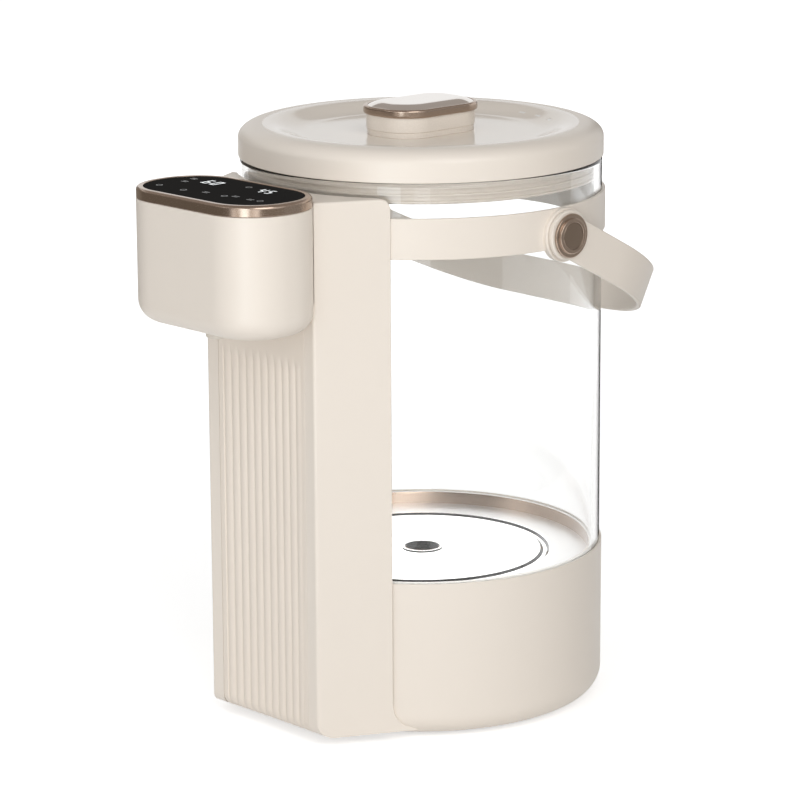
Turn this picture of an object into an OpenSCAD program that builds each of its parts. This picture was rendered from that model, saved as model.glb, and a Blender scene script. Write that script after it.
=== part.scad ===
// Electric thermo pot: a glass tank on a round base, a slim tower at the front that
// carries the touch head and spout, a lift-off lid and a bail handle.
// Millimetres. Origin on the tank axis at the level of the feet, +Z up, tower towards -Y.

/* [Glass tank] */
// Outer radius of the glass tube
glass_r = 95; // [88:0.5:102]
// Wall of the glass tube
glass_wall = 4; // [3:0.5:5]
// Height of the glass tube
glass_h = 212.3; // [180:0.5:240]

/* [Base] */
// Distance the base shell stands out past the glass
base_skin = 1.2; // [0.8:0.1:2]
// Height of the base rim above the floor
base_h = 83.7; // [78:0.1:95]
// Wall of the base shell
base_wall = 3.2; // [2.4:0.1:4]
// Radius of the rounded bottom edge
base_round = 20; // [14:0.5:24]
// Depth of the glass seat below the rim
rim_depth = 6.7; // [5:0.1:9]
// Depth of the shelf that carries the steel pan
shelf_w = 8; // [6:0.5:11]
// Thickness of the feet under the base
foot_h = 1.2; // [1:0.1:3]
// Radius of a foot
foot_r = 8; // [5:0.5:10]
// Thickness of the bottom cover
cover_t = 1.6; // [1.2:0.1:2]
// Distance of the bottom cover's edge inside the base's side
cover_set = 24.2; // [22:0.1:28]

/* [Heating pan] */
// Sheet thickness of the steel pan
pan_t = 1.2; // [0.8:0.1:1.6]
// Width of the pan's rim outside the groove
pan_ledge = 21; // [15:0.5:28]
// Width of the groove
groove_w = 3.2; // [2:0.1:4]
// Depth of the groove
groove_depth = 1.6; // [1:0.1:2.4]
// Thickness of the glass seal
seal_t = 1.2; // [0.8:0.1:2]
// Thickness of the glass seal's inner lip
seal_lip = 1.2; // [0.8:0.1:2]
// Height of the glass seal's inner lip
seal_lip_h = 6.7; // [3:0.1:9]
// Radius of the strainer cup sunk in the pan
strainer_r = 9.8; // [7:0.1:10]
// Depth of the strainer's perforated floor below the pan
strainer_deep = 2.6; // [1.5:0.1:3]
// Thickness of the heat spreader
spreader_t = 3; // [2:0.5:5]
// Distance of the heating element inside the groove
heater_set = 20; // [14:0.5:24]
// Radius of the heating element's tube
heater_tube = 4; // [3:0.5:5]

/* [Pump] */
// Sideways place of the pump and the riser tube
pump_x = 24; // [18:0.5:24]
// Distance of the pump's bracket inside the base's opening
pump_set = 1; // [1:0.5:6]
// Radius of the pump housing
pump_r = 18; // [16:0.5:20]
// Radius of the motor can
motor_r = 14; // [12:0.5:15]
// Radius of the motor shaft
shaft_r = 1.5; // [1.2:0.1:2]
// Outer radius of the riser tube
tube_r = 3.4; // [2.8:0.1:3.5]
// Bore radius of the riser tube
tube_bore = 2.05; // [1.6:0.05:2.2]
// Outer radius of the suction hose
hose_r = 5.5; // [4.5:0.1:6.5]
// Bore radius of the suction hose
hose_bore = 3.05; // [2.5:0.05:3.6]

/* [Tower] */
// Distance of the tower's front face from the glass
tower_depth = 18; // [16:0.5:21]
// Half width of the tower's front face
tower_half = 41.5; // [38:0.5:46]
// Angle of a wing's rear edge round the tank, from the middle of the tower
wing_angle = 37.45; // [35:0.05:39]
// Thickness of a wing's rear edge
wing_edge = 1; // [0.6:0.1:2]
// Radius of the tower's front corners
tower_corner = 3; // [2.8:0.1:5]
// Depth that the head is let into the tower's front
head_nest = 6; // [4:0.5:7]
// Radius of the wing's top rear corner
wing_round = 4.4; // [2:0.1:8]
// Height of the tower's foot above the floor
tower_foot = 4.5; // [3:0.1:8]
// Distance of the tower's top below the glass rim
tower_drop = 6.8; // [4:0.1:12]
// Wall of the tower housing
tower_wall = 2.2; // [1.6:0.1:2.6]
// Length of the toe that curls under the base
toe_len = 13; // [8:0.5:16]
// Thickness of the toe's tip
toe_tip = 1.5; // [1:0.1:3]

/* [Fluted panel] */
// Half width of the panel
panel_half = 33.6; // [30:0.2:36]
// Thickness of the panel
panel_t = 3; // [2.6:0.1:3.2]
// Number of ribs across the panel
rib_count = 11; // [8:1:14]
// Height of a rib above the valleys
rib_depth = 0.8; // [0.4:0.1:1]
// Width of the plain strip at each side of the ribs
rib_margin = 3; // [1:0.1:4]
// Distance from the head's underside down to the rib ends
rib_start = 18; // [10:1:30]
// Radius of the curled bottom edge of the tower's front
panel_curl = 8; // [7:0.5:9]

/* [Head] */
// Width of the head
head_w = 102.5; // [90:0.5:110]
// Depth of the head from front to back
head_d = 57.5; // [52:0.5:64]
// Height of the head
head_h = 69; // [60:0.5:80]
// Corner radius of the head in plan
head_corner = 27; // [22:0.5:28]
// Radius of the rounded bottom edge
head_round = 16; // [8:0.5:20]
// Wall of the head housing
head_wall = 2.5; // [2:0.1:3]
// Height of the head's top above the tower's top
head_rise = 4.3; // [2:0.1:8]
// Height of the metal trim
trim_h = 5.7; // [5:0.1:8]
// Width of the trim round the touch glass
trim_w = 3.7; // [2.5:0.1:5]
// Thickness of the touch glass
touch_t = 1.6; // [1:0.1:2]
// Thickness of the display board
board_t = 1.6; // [1:0.1:2]
// Radius of the spout nozzle
spout_r = 6; // [5:0.5:7]
// Distance of the spout ahead of the head's middle
spout_ahead = 5.2; // [0:0.1:5.2]
// Length of the spout below the head
spout_drop = 5; // [2:0.5:9]

/* [Collar and handle] */
// Thickness of the collar band
collar_t = 1.55; // [1.2:0.05:2]
// Height of the collar band
collar_h = 21; // [17:0.5:26]
// Distance of the collar's top below the glass rim
collar_drop = 17; // [14:0.5:24]
// Radius of the pivot pad on the collar
pad_r = 14; // [12:0.5:16]
// Distance of the handle pivot behind the tank axis
pivot_y = 7.5; // [4:0.5:12]
// Distance of the pivot below the middle of the collar
pivot_drop = 3.5; // [0:0.5:5]
// Radius of the pivot pin
pin_r = 3; // [2.5:0.1:4]
// Distance from the collar's skin to the handle's inner face
bail_clear = 2.5; // [1.5:0.1:4]
// Thickness of the handle strap
bail_t = 2.6; // [2:0.1:3.5]
// Width of the handle strap
bail_w = 22; // [18:0.5:24]
// Distance the handle reaches past the glass's radius
bail_reach = 14; // [13:0.5:22]
// Corner radius of the handle
bail_corner = 68; // [55:0.5:72]
// Radius of the handle's ears
ear_r = 13; // [11.5:0.5:15]
// Angle at which the handle hangs below the horizontal
bail_rest = 28; // [20:1:30]
// Radius of the metal boss ring
boss_r = 11.4; // [9:0.1:12.5]
// Radius of the boss cap
cap_r = 7; // [5:0.1:8]

/* [Lid] */
// Distance the lid stands out past the glass
lid_over = 0.7; // [0.2:0.1:1.5]
// Height of the lid's straight side
lid_side = 9.5; // [6:0.1:14]
// Width of the lid's rounded edge
lid_edge_w = 12.7; // [8:0.1:16]
// Height of the lid's rounded edge
lid_edge_h = 7.1; // [4:0.1:10]
// Depth of the dish in the lid
dish_depth = 5.1; // [4:0.1:8]
// Width of the lid's flat crest
crest_flat = 5; // [2:0.5:8]
// Width of the dish's slope
dish_slope = 18; // [14:0.5:20]
// Wall of the lid shell
lid_wall = 2.4; // [2:0.1:3]
// Depth of the plug below the glass rim
plug_depth = 13.5; // [10:0.5:15]
// Gap between the lid's edge and the glass rim
lid_gap = 0.5; // [0.4:0.1:1]
// Number of steam slots
vent_count = 3; // [2:1:5]
// Angle of the middle steam slot round the lid
vent_azimuth = 75; // [60:1:120]

/* [Knob] */
// Width of the knob
knob_w = 40; // [32:0.5:48]
// Depth of the knob from front to back
knob_d = 59; // [50:0.5:68]
// Corner radius of the knob in plan
knob_corner = 16.5; // [12:0.5:18]
// Height of the knob's body
knob_h = 12; // [9:0.5:16]
// Height of the metal ring
ring_h = 3.6; // [2.5:0.1:5]
// Overhang of the metal ring
ring_out = 1.5; // [0.5:0.1:3]
// Height of the cap above the ring
cap_rise = 1.4; // [0.8:0.1:3]

/* [Hidden] */

$fn = 96;
// Small overlap of a cutter past a face
eps = 0.05;
// Slip clearance between fixed pieces
fit = 0.15;
// Clearance between pieces that move past each other
gap = 0.3;
// Running clearance of a shaft in its hole
run = 0.05;

// Base and glass
base_r = glass_r + base_skin;
cover_r = base_r - cover_set;
lip_r = glass_r + fit;
pan_top = base_h - rim_depth;
shelf_z = pan_top - pan_t;
shelf_t = 3;
shelf_r = base_r - base_wall - shelf_w;
base_floor = foot_h + base_wall;
cover_top = foot_h + cover_t;
flange_w = 10;
flange_r = cover_r - flange_w;
foot_ring_r = flange_r - foot_r - 1;
glass_z = pan_top + seal_t;
glass_top = glass_z + glass_h;
glass_bore = glass_r - glass_wall;
screw_r = 1.5;
screw_head_r = 2.8;
screw_head_h = 1;
screw_len = 6;
cover_screw_r = cover_r - flange_w / 2;
boss_wall = 2;

// Heating parts under the pan
groove_r = glass_bore - pan_ledge;
spreader_z = shelf_z - spreader_t;
spreader_r = groove_r - groove_w / 2 - pan_t - 1;
heater_z = spreader_z - heater_tube;
heater_r = groove_r - heater_set;
heater_sweep = 310;
heater_leg = 10;
heater_cuff = 0.8;
stat_r = 11;
stat_h = 8;
stat_y = 26;
probe_r = 3;
probe_x = -30;
probe_rise = 2;
probe_len = 14;
probe_flange = 1.5;
probe_flange_h = 1;
stem_r = hose_bore - run;
stem_len = 16;
strainer_lip = 1.2;
strainer_lip_h = 0.5;
strainer_sheet = 0.8;
strainer_room = 2;
strainer_h = strainer_deep + strainer_room + 2 * strainer_sheet;
strainer_holes = 10;
strainer_ring = 0.66 * strainer_r;
strainer_hole = 0.9;

// Pump
bracket_t = 2;
pump_y = sqrt(pow(flange_r - motor_r - bracket_t - pump_set, 2) - pow(pump_x, 2));
bracket_lip = 9;
hose_clear = 1;
hose_z = heater_z - heater_tube - hose_clear - hose_r;
nipple_len = 8;
nipple_gap = 2;
pump_top = hose_z - hose_r - nipple_gap - nipple_len;
pump_wall = 2.5;
pump_h = 16;
pump_z = pump_top - pump_h;
motor_h = pump_z - cover_top - bracket_t;
impeller_r = pump_r - pump_wall - 1.5;
impeller_h = 6;
impeller_plate = 1.5;
impeller_z = pump_z + pump_wall + 1;
vane_count = 6;
vane_t = 1.4;
vane_root = 0.6;
shaft_deep = 9;
outlet_z = pump_z + pump_h / 2;
outlet_r = tube_bore - run;
outlet_wall = 0.8;
nipple_overlap = 6;
elbow_swell = 0.25;

// Tower
collar_r = glass_r + fit + collar_t;
tower_bore = collar_r + gap;
tower_front = glass_r + tower_depth;
nest_y = tower_front - head_nest;
wing_x = (tower_bore + wing_edge) * sin(wing_angle);
wing_y = (tower_bore + wing_edge) * cos(wing_angle);
tower_top = glass_top - tower_drop;
tower_h = tower_top - tower_foot;
flare_len = norm([wing_x - tower_half, tower_front - wing_y]);
flare_s = (wing_x - tower_half) / flare_len;
flare_c = (tower_front - wing_y) / flare_len;
corner_x = tower_half - tower_corner * (1 - flare_s) / flare_c;
inner_k = 0.8;
toe_r = toe_len;
toe_top = tower_foot + toe_tip + toe_r;
toe_azimuth = atan2(-flare_s, flare_c);
tower_screw_angle = 27;
tower_screw_z = [base_round + 4, shelf_z - shelf_t - 6];
tower_screw_len = base_wall + tower_bore - base_r + tower_wall + 0.5;

// Head
head_y = nest_y + head_d / 2;
spout_y = head_y + spout_ahead;
head_z = tower_top + head_rise - head_h;
head_top = head_z + head_h;
trim_z = head_top - trim_h;
touch_w = head_w - 2 * trim_w;
touch_d = head_d - 2 * trim_w;
touch_corner = head_corner - trim_w;
touch_z = head_top - touch_t;
board_lip = 3;
board_gap = 0.2;
board_z = touch_z - board_gap - board_t;
arm_half = 12;
arm_t = 3;
arm_low = 33;
arm_reach = 20;
plate_half = 16;
plate_h = 36;
plate_t = 2;
riser_cross = 27;

// Riser tube
riser_sum = nest_y - panel_t + tower_bore + tower_wall;
riser_y = (pow(riser_sum, 2) - pow(pump_x, 2)) / (2 * riser_sum);
riser_hole = tube_r + gap;

// Fluted panel
panel_z = tower_foot;
panel_top = head_z + 6;
panel_slip = fit;
panel_deep = max(panel_curl, head_nest + tower_wall) + 2 * fit;
rib_pitch = 2 * (panel_half - panel_slip - rib_margin) / rib_count;
rib_circle = pow(rib_pitch, 2) / (8 * rib_depth) + rib_depth / 2;
rib_top = head_z - rib_start;

// Spout
spout_flange = 2;
spout_lip = 1.5;
spout_bore = 4;
spout_low = head_z - spout_drop;
seal_ring_t = 1;
spout_seat = head_z + head_wall;
spout_tip = spout_seat + seal_ring_t + spout_flange + nipple_len;

// Collar, pivots and handle
collar_top = glass_top - collar_drop;
collar_z = collar_top - collar_h;
pivot_z = collar_z + collar_h / 2 - pivot_drop;
pad_root = 10;
bail_in = collar_r + bail_clear;
bail_len = glass_r + bail_reach;
bail_half = bail_in + bail_t / 2;
pad_x = bail_in - gap;
boss_x = bail_in + bail_t + gap;
boss_t = 1.3;
boss_step = 2.4;
boss_step_r = cap_r + 2.2;
cap_seat = 1.2;
cap_t = 1.4;

// Lid
lid_r = glass_r + lid_over;
lid_z = glass_top + lid_gap;
lid_shoulder = lid_z + lid_side;
lid_crest = lid_shoulder + lid_edge_h;
crest_r = lid_r - lid_edge_w;
dish_r = crest_r - crest_flat - dish_slope;
dish_z = lid_crest - dish_depth;
edge_steps = 10;
slope_steps = 12;
gasket_lift = 0.2;
gasket_t = 1.3;
gasket_top = glass_top + gasket_lift + gasket_t;
skirt_r = lid_r - lid_wall;
plug_r = glass_bore - 2.5;
plug_wall = 2;
plug_flange = 2;
plug_low = glass_top - plug_depth;
lip_count = 3;
lip_r_out = glass_bore - gap;
lip_t = 1.4;
lip_band = 1.2;
lip_end = 2.5;
lip_pitch = (plug_depth - lip_end) / lip_count;
steam_r = 2;
steam_set = 18;
steam_step = 12;
vent_w = 5;
vent_t = 1.8;
vent_down = 7;
vent_r = dish_r + dish_slope - vent_down;
vent_step = 11.5;

// Knob
seam_h = 0.8;
seam_in = 0.5;
ring_z = dish_z + knob_h;
knob_top = ring_z + ring_h;
cap_in = 4;
cap_seat_h = 1;
knob_screw_len = 8;
knob_screw_x = 9;

// Inlet at the back of the base
inlet_w = 27;
inlet_h = 20;
inlet_wall = 1.8;
inlet_z = 40;
inlet_deep = 17;
inlet_back = 2;
inlet_set = 1.2;
inlet_y = base_r - inlet_set;
inlet_out_w = inlet_w + 2 * inlet_wall;
inlet_out_h = inlet_h + 2 * inlet_wall;
inlet_flange = inlet_out_w / 2 + 4;
inlet_flange_y = sqrt(pow(base_r - base_wall, 2) - pow(inlet_flange, 2)) - run;
blade_w = 4;
blade_t = 2;
blade_len = 12;
blade_step = 7;
blade_tail = 4;

// Power board
pcb_x = -26;
pcb_y = 4;
pcb_w = 50;
pcb_d = 60;
pcb_t = 1.6;
part_edge = 6;
coil_w = 18;
coil_d = 20;
coil_h = 17;
relay_w = 14;
relay_d = 18;
relay_h = 15;
capacitor_r = 5;
capacitor_h = 14;
capacitor_step = 14;
post_r = 3;
post_h = 5;
pcb_z = cover_top + post_h;

// Points of an arc in a plane
function arc(cx, cy, rx, ry, a0, a1, n) = [for (i = [0:n])
    let (a = a0 + (a1 - a0) * i / n) [cx + rx * cos(a), cy + ry * sin(a)]];
// The same points in the opposite order
function reversed(v) = [for (i = [len(v) - 1:-1:0]) v[i]];

// ---- Shared shapes ----

// Rounded rectangle about the origin
module rounded_plan(w, d, r) {
    square([w - 2 * r, d], center = true);
    square([w, d - 2 * r], center = true);
    for (x = [-1, 1], y = [-1, 1])
        translate([x * (w / 2 - r), y * (d / 2 - r)]) circle(r);
}

// Upright slab with a rounded rectangle as its plan
module rounded_slab(w, d, r, h) {
    linear_extrude(h) rounded_plan(w, d, r);
}

// Half section whose lower outer corner is rounded
module round_foot(r, h, rr) {
    difference() {
        square([r, h]);
        translate([r - rr, -eps]) difference() {
            square([rr + eps, rr + eps]);
            translate([0, rr + eps]) circle(rr);
        }
    }
}

// Whole section made from two mirrored half sections
module full_section(r, h, rr) {
    for (s = [0, 1]) mirror([s, 0]) round_foot(r, h, rr);
}

// Tub with a rounded rectangle as its plan and a rounded bottom edge
module tub(w, d, r, h, rr) {
    rotate([90, 0, 0]) translate([0, 0, r - d / 2]) linear_extrude(d - 2 * r)
        full_section(w / 2, h, rr);
    rotate([90, 0, 90]) translate([0, 0, r - w / 2]) linear_extrude(w - 2 * r)
        full_section(d / 2, h, rr);
    for (x = [-1, 1], y = [-1, 1])
        translate([x * (w / 2 - r), y * (d / 2 - r), 0]) rotate_extrude()
            round_foot(r, h, rr);
}

// Straight round rod between two points
module rod(a, b, r) {
    d = b - a;
    l = norm(d);
    translate(a) rotate([0, acos(d.z / l), atan2(d.y, d.x)]) cylinder(h = l, r = r);
}

// Chain of rods with round elbows that swell a little
module pipe(points, r) {
    for (i = [0:len(points) - 2]) rod(points[i], points[i + 1], r);
    for (i = [1:len(points) - 2]) translate(points[i]) sphere(r + elbow_swell);
}

// Route with both ends pulled out a little, for a through bore
function pulled(p, e) = let (n = len(p) - 1,
    a = (p[0] - p[1]) / norm(p[0] - p[1]),
    b = (p[n] - p[n - 1]) / norm(p[n] - p[n - 1]))
    concat([p[0] + e * a], [for (i = [1:n - 1]) p[i]], [p[n] + e * b]);

// Hollow tube along a route
module tube(points, r, bore) {
    difference() {
        pipe(points, r);
        pipe(pulled(points, 1), bore);
    }
}

// Ring from one radius to another
module ring(r_in, r_out, h) {
    rotate_extrude() translate([r_in, 0]) square([r_out - r_in, h]);
}

// Cylinder along +X or -X from one distance to another
module side_cyl(side, x0, x1, r) {
    translate([side > 0 ? x0 : -x1, 0, 0]) rotate([0, 90, 0]) cylinder(h = x1 - x0, r = r);
}

// Screw with a flat head at the origin and its shank along +Z
module screw(len) {
    cylinder(h = screw_head_h, r = screw_head_r);
    cylinder(h = screw_head_h + len, r = screw_r);
}

// Children set at four equal angles
module four(r, a0) {
    for (i = [0:3]) rotate([0, 0, a0 + 90 * i]) translate([r, 0, 0]) children();
}

// ---- Base ----

// Outside of the base as a solid of revolution
module bowl(r, z0, z1, rr) {
    translate([0, 0, z0]) rotate_extrude() round_foot(r, z1 - z0, rr);
}

// Screws that join the base to the tower, as solids with a given head and shank
module tower_fixings() {
    for (s = [-1, 1], z = tower_screw_z)
        translate([0, 0, z]) rotate([0, 0, -90 + s * tower_screw_angle])
            translate([base_r - base_wall - screw_head_h - run * 2, 0, 0])
                rotate([0, 90, 0]) children();
}

module base_shell() {
    color("#e8dcd0") difference() {
        union() {
            difference() {
                bowl(base_r, foot_h, base_h, base_round);
                bowl(base_r - base_wall, base_floor, shelf_z - shelf_t, base_round - base_wall);
            }
            four(cover_screw_r, 0) translate([0, 0, base_floor - eps])
                cylinder(h = screw_len, r = screw_r + boss_wall);
        }
        translate([0, 0, shelf_z - shelf_t - eps]) cylinder(h = shelf_t + 1, r = shelf_r);
        translate([0, 0, shelf_z]) cylinder(h = base_h, r = lip_r);
        cylinder(h = base_floor + eps, r = flange_r);
        cylinder(h = cover_top, r = cover_r);
        four(cover_screw_r, 0) cylinder(h = base_floor + screw_len + 1, r = screw_r + run);
        tower_fixings() cylinder(h = base_wall + screw_head_h + 2, r = screw_r + run);
        translate([pump_x, 0, outlet_z]) rotate([90, 0, 0])
            cylinder(h = base_r + 1, r = riser_hole);
        translate([0, base_r, inlet_z])
            cube([inlet_out_w + 2 * fit, 4 * base_wall, inlet_out_h + 2 * fit], center = true);
    }
}

module bottom_cover() {
    color("#cfc4b6") difference() {
        union() {
            translate([0, 0, foot_h]) cylinder(h = cover_t, r = cover_r - fit);
            board_posts() cylinder(h = pcb_z - cover_top + eps, r = post_r);
        }
        four(cover_screw_r, 0) {
            cylinder(h = foot_h + screw_head_h, r = screw_head_r + fit);
            cylinder(h = cover_top + 1, r = screw_r + run);
        }
    }
}

module rubber_feet() {
    color("#6b645c") four(foot_ring_r, 45) cylinder(h = foot_h, r = foot_r);
}

module cover_screws() {
    color("silver") four(cover_screw_r, 0) translate([0, 0, foot_h]) screw(screw_len);
}

// ---- Heating pan ----

// Places of the pan's two through holes
module pan_holes() {
    translate([0, 0, spreader_z - 1]) cylinder(h = pan_top, r = strainer_r + run);
    translate([probe_x, 0, spreader_z - 1]) cylinder(h = pan_top, r = probe_r + run);
}

module steel_pan() {
    color("#d9d9d8") difference() {
        union() {
            translate([0, 0, shelf_z]) cylinder(h = pan_t, r = lip_r - fit);
            translate([0, 0, shelf_z - groove_depth])
                ring(groove_r - groove_w / 2 - pan_t, groove_r + groove_w / 2 + pan_t,
                    groove_depth + eps);
        }
        translate([0, 0, pan_top - groove_depth])
            ring(groove_r - groove_w / 2, groove_r + groove_w / 2, groove_depth + 1);
        pan_holes();
    }
}

module pan_seal() {
    inner = glass_bore - run - seal_lip;
    color("#c9c4bb") translate([0, 0, pan_top]) {
        ring(inner, lip_r - fit, seal_t);
        ring(inner, glass_bore - run, seal_lip_h);
    }
}

module heat_spreader() {
    color("#b9b9ba") difference() {
        translate([0, 0, spreader_z]) cylinder(h = spreader_t, r = spreader_r);
        pan_holes();
    }
}

module heating_element() {
    color("#8f8b86") translate([0, 0, heater_z]) rotate([0, 0, 180 + (360 - heater_sweep) / 2]) {
        rotate_extrude(angle = heater_sweep, $fn = 48) translate([heater_r, 0]) circle(heater_tube);
        for (a = [0, heater_sweep]) rotate([0, 0, a]) translate([heater_r, 0, -heater_leg])
            cylinder(h = heater_leg + heater_tube - gap, r = heater_tube + heater_cuff);
    }
}

module thermostat() {
    color("#3a3734") translate([0, stat_y, spreader_z - stat_h]) cylinder(h = stat_h, r = stat_r);
}

module temperature_probe() {
    color("#c8c8c8") translate([probe_x, 0, pan_top]) {
        cylinder(h = probe_rise, r = probe_r);
        cylinder(h = probe_flange_h, r = probe_r + probe_flange);
        translate([0, 0, -probe_len]) cylinder(h = probe_len + eps, r = probe_r);
    }
}

module intake_strainer() {
    inner = strainer_r - strainer_sheet;
    color("#cfcfce") difference() {
        union() {
            translate([0, 0, pan_top]) cylinder(h = strainer_lip_h, r = strainer_r + strainer_lip);
            translate([0, 0, pan_top - strainer_h]) cylinder(h = strainer_h + eps, r = strainer_r);
            translate([0, 0, pan_top - stem_len]) cylinder(h = stem_len - strainer_h + eps, r = stem_r);
        }
        translate([0, 0, pan_top - strainer_deep]) cylinder(h = strainer_deep + 1, r = inner);
        translate([0, 0, pan_top - strainer_h + strainer_sheet]) cylinder(h = strainer_room, r = inner);
        translate([0, 0, pan_top - stem_len - 1])
            cylinder(h = stem_len + 1 - strainer_h + 2 * strainer_sheet, r = stem_r - outlet_wall);
        for (i = [0:strainer_holes - 1]) rotate([0, 0, 360 * i / strainer_holes])
            translate([strainer_ring, 0, pan_top - strainer_deep - strainer_sheet - eps])
                cylinder(h = strainer_sheet + 1, r = strainer_hole);
    }
}

// ---- Pump and water path ----

module suction_hose() {
    top = pan_top - stem_len + nipple_overlap;
    color("#dcd8d0") tube([[0, 0, top], [0, 0, hose_z], [pump_x, 0, hose_z],
        [pump_x, -pump_y, hose_z], [pump_x, -pump_y, pump_top + nipple_len - nipple_overlap]],
        hose_r, hose_bore);
}

module pump_housing() {
    color("#e4e0d8") translate([pump_x, -pump_y, 0]) difference() {
        union() {
            translate([0, 0, pump_z]) cylinder(h = pump_h, r = pump_r);
            translate([0, 0, pump_top - eps]) cylinder(h = nipple_len + eps, r = stem_r);
            translate([0, 0, outlet_z]) rotate([90, 0, 0])
                cylinder(h = pump_r + nipple_len, r = outlet_r);
        }
        translate([0, 0, pump_z + pump_wall])
            cylinder(h = pump_h - 2 * pump_wall, r = pump_r - pump_wall);
        translate([0, 0, pump_top - pump_wall - eps])
            cylinder(h = pump_wall + nipple_len + 1, r = stem_r - outlet_wall);
        translate([0, 0, outlet_z]) rotate([90, 0, 0])
            cylinder(h = pump_r + nipple_len + 1, r = outlet_r - outlet_wall);
        translate([0, 0, pump_z - 1]) cylinder(h = pump_wall + 2, r = shaft_r + run);
    }
}

module pump_impeller() {
    color("#9a958d") translate([pump_x, -pump_y, 0]) {
        translate([0, 0, impeller_z]) cylinder(h = impeller_plate, r = impeller_r);
        translate([0, 0, impeller_z]) cylinder(h = impeller_h, r = 2 * shaft_r);
        for (i = [0:vane_count - 1]) rotate([0, 0, 360 * i / vane_count])
            translate([2 * shaft_r - vane_root, -vane_t / 2, impeller_z + impeller_plate - eps])
                cube([impeller_r - 2 * shaft_r, vane_t, impeller_h - impeller_plate - vane_root]);
        translate([0, 0, pump_z - shaft_deep])
            cylinder(h = impeller_z - pump_z + shaft_deep + eps, r = shaft_r);
    }
}

module pump_motor() {
    color("#a9a6a2") translate([pump_x, -pump_y, 0]) difference() {
        translate([0, 0, pump_z - motor_h]) cylinder(h = motor_h, r = motor_r);
        translate([0, 0, pump_z - shaft_deep - 1]) cylinder(h = shaft_deep + 2, r = shaft_r + run);
    }
}

module pump_bracket() {
    color("#b9b9ba") translate([pump_x, -pump_y, cover_top]) {
        cylinder(h = bracket_t, r = motor_r + bracket_t);
        ring(motor_r + fit, motor_r + bracket_t, bracket_t + bracket_lip);
    }
}

module riser_tube() {
    cross = head_z + riser_cross;
    start = pump_y + pump_r + nipple_len - nipple_overlap;
    color("#e6e2da") tube([[pump_x, -start, outlet_z], [pump_x, -riser_y, outlet_z],
        [pump_x, -riser_y, cross], [pump_x, -spout_y, cross], [0, -spout_y, cross],
        [0, -spout_y, spout_tip - nipple_overlap]], tube_r, tube_bore);
}

// ---- Electrics in the base ----

// Children set at the board's four posts
module board_posts() {
    for (x = [-1, 1], y = [-1, 1])
        translate([pcb_x + x * (pcb_w / 2 - post_r), pcb_y + y * (pcb_d / 2 - post_r), cover_top - eps])
            children();
}

module power_board() {
    color("#3f6b4a") translate([pcb_x, pcb_y, pcb_z]) {
        translate([-pcb_w / 2, -pcb_d / 2, 0]) cube([pcb_w, pcb_d, pcb_t]);
        translate([-pcb_w / 2 + part_edge, -pcb_d / 2 + part_edge, pcb_t - eps])
            cube([coil_w, coil_d, coil_h]);
        translate([pcb_w / 2 - part_edge - relay_w, -pcb_d / 2 + part_edge, pcb_t - eps])
            cube([relay_w, relay_d, relay_h]);
        for (i = [-1:1]) translate([i * capacitor_step, pcb_d / 2 - part_edge - capacitor_r, pcb_t - eps])
            cylinder(h = capacitor_h, r = capacitor_r);
    }
}

module inlet_blades() {
    root = inlet_y - inlet_deep - inlet_back - blade_tail;
    for (i = [-1:1])
        translate([i * blade_step - blade_t / 2, root, inlet_z - blade_w / 2 + 3 * (1 - abs(i))])
            cube([blade_t, blade_tail + inlet_back + blade_len, blade_w]);
}

module inlet_socket() {
    color("#2f2d2b") difference() {
        union() {
            translate([-inlet_out_w / 2, inlet_y - inlet_deep - inlet_back, inlet_z - inlet_out_h / 2])
                cube([inlet_out_w, inlet_deep + inlet_back, inlet_out_h]);
            translate([-inlet_flange, inlet_flange_y - inlet_wall, inlet_z - inlet_out_h / 2 - 4])
                cube([2 * inlet_flange, inlet_wall, inlet_out_h + 8]);
        }
        translate([-inlet_w / 2, inlet_y - inlet_deep, inlet_z - inlet_h / 2])
            cube([inlet_w, inlet_deep + 1, inlet_h]);
        inlet_blades();
    }
}

module inlet_pins() {
    color("#c9b27a") inlet_blades();
}

// ---- Glass and collar ----

module glass_tube() {
    r = glass_wall / 2 - 0.4;
    color("#dfeaea", 0.35) translate([0, 0, glass_z]) rotate_extrude() {
        translate([glass_bore, 0]) square([glass_wall, glass_h - r]);
        translate([glass_bore + r, 0]) square([glass_wall - 2 * r, glass_h]);
        for (x = [glass_bore + r, glass_r - r]) translate([x, glass_h - r]) circle(r);
    }
}

module collar_band() {
    color("#e8dcd0") difference() {
        union() {
            translate([0, 0, collar_z]) cylinder(h = collar_h, r = collar_r);
            for (s = [-1, 1]) translate([0, pivot_y, pivot_z])
                side_cyl(s, glass_r - pad_root, pad_x, pad_r);
        }
        cylinder(h = glass_top, r = glass_r + fit);
        for (s = [-1, 1]) translate([0, pivot_y, pivot_z])
            side_cyl(s, glass_r - pad_root, pad_x + 1, pin_r + run);
    }
}

// ---- Tower ----

// Plan of the tower before the tank's bore is taken out, drawn in by a wall t
module tower_plan(t) {
    k = tower_corner - t;
    wing = [wing_x - t * flare_c, -wing_y + t * flare_s];
    centre = [corner_x, -tower_front + tower_corner];
    half = [[0, -tower_front + t], [corner_x, -tower_front + t],
        centre + k * [flare_c, -flare_s], wing, wing * inner_k, [0, wing.y * inner_k]];
    for (s = [0, 1]) mirror([s, 0]) {
        polygon(half);
        translate(centre) circle(k);
    }
}

// Toe at the bottom of one wing, which curls under the base
module toe() {
    far = [wing_x + toe_len * flare_s, -wing_y + toe_len * flare_c];
    difference() {
        translate([0, 0, tower_foot]) linear_extrude(toe_tip + toe_r)
            polygon([[wing_x, -wing_y], far, far * inner_k, [wing_x, -wing_y] * inner_k]);
        bowl(base_r + gap, foot_h - gap, base_h, base_round);
        translate([far.x, far.y, toe_top]) rotate([0, 0, toe_azimuth]) rotate([0, 90, 0])
            translate([0, 0, -3 * toe_r]) cylinder(h = 6 * toe_r, r = toe_r);
    }
}

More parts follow.
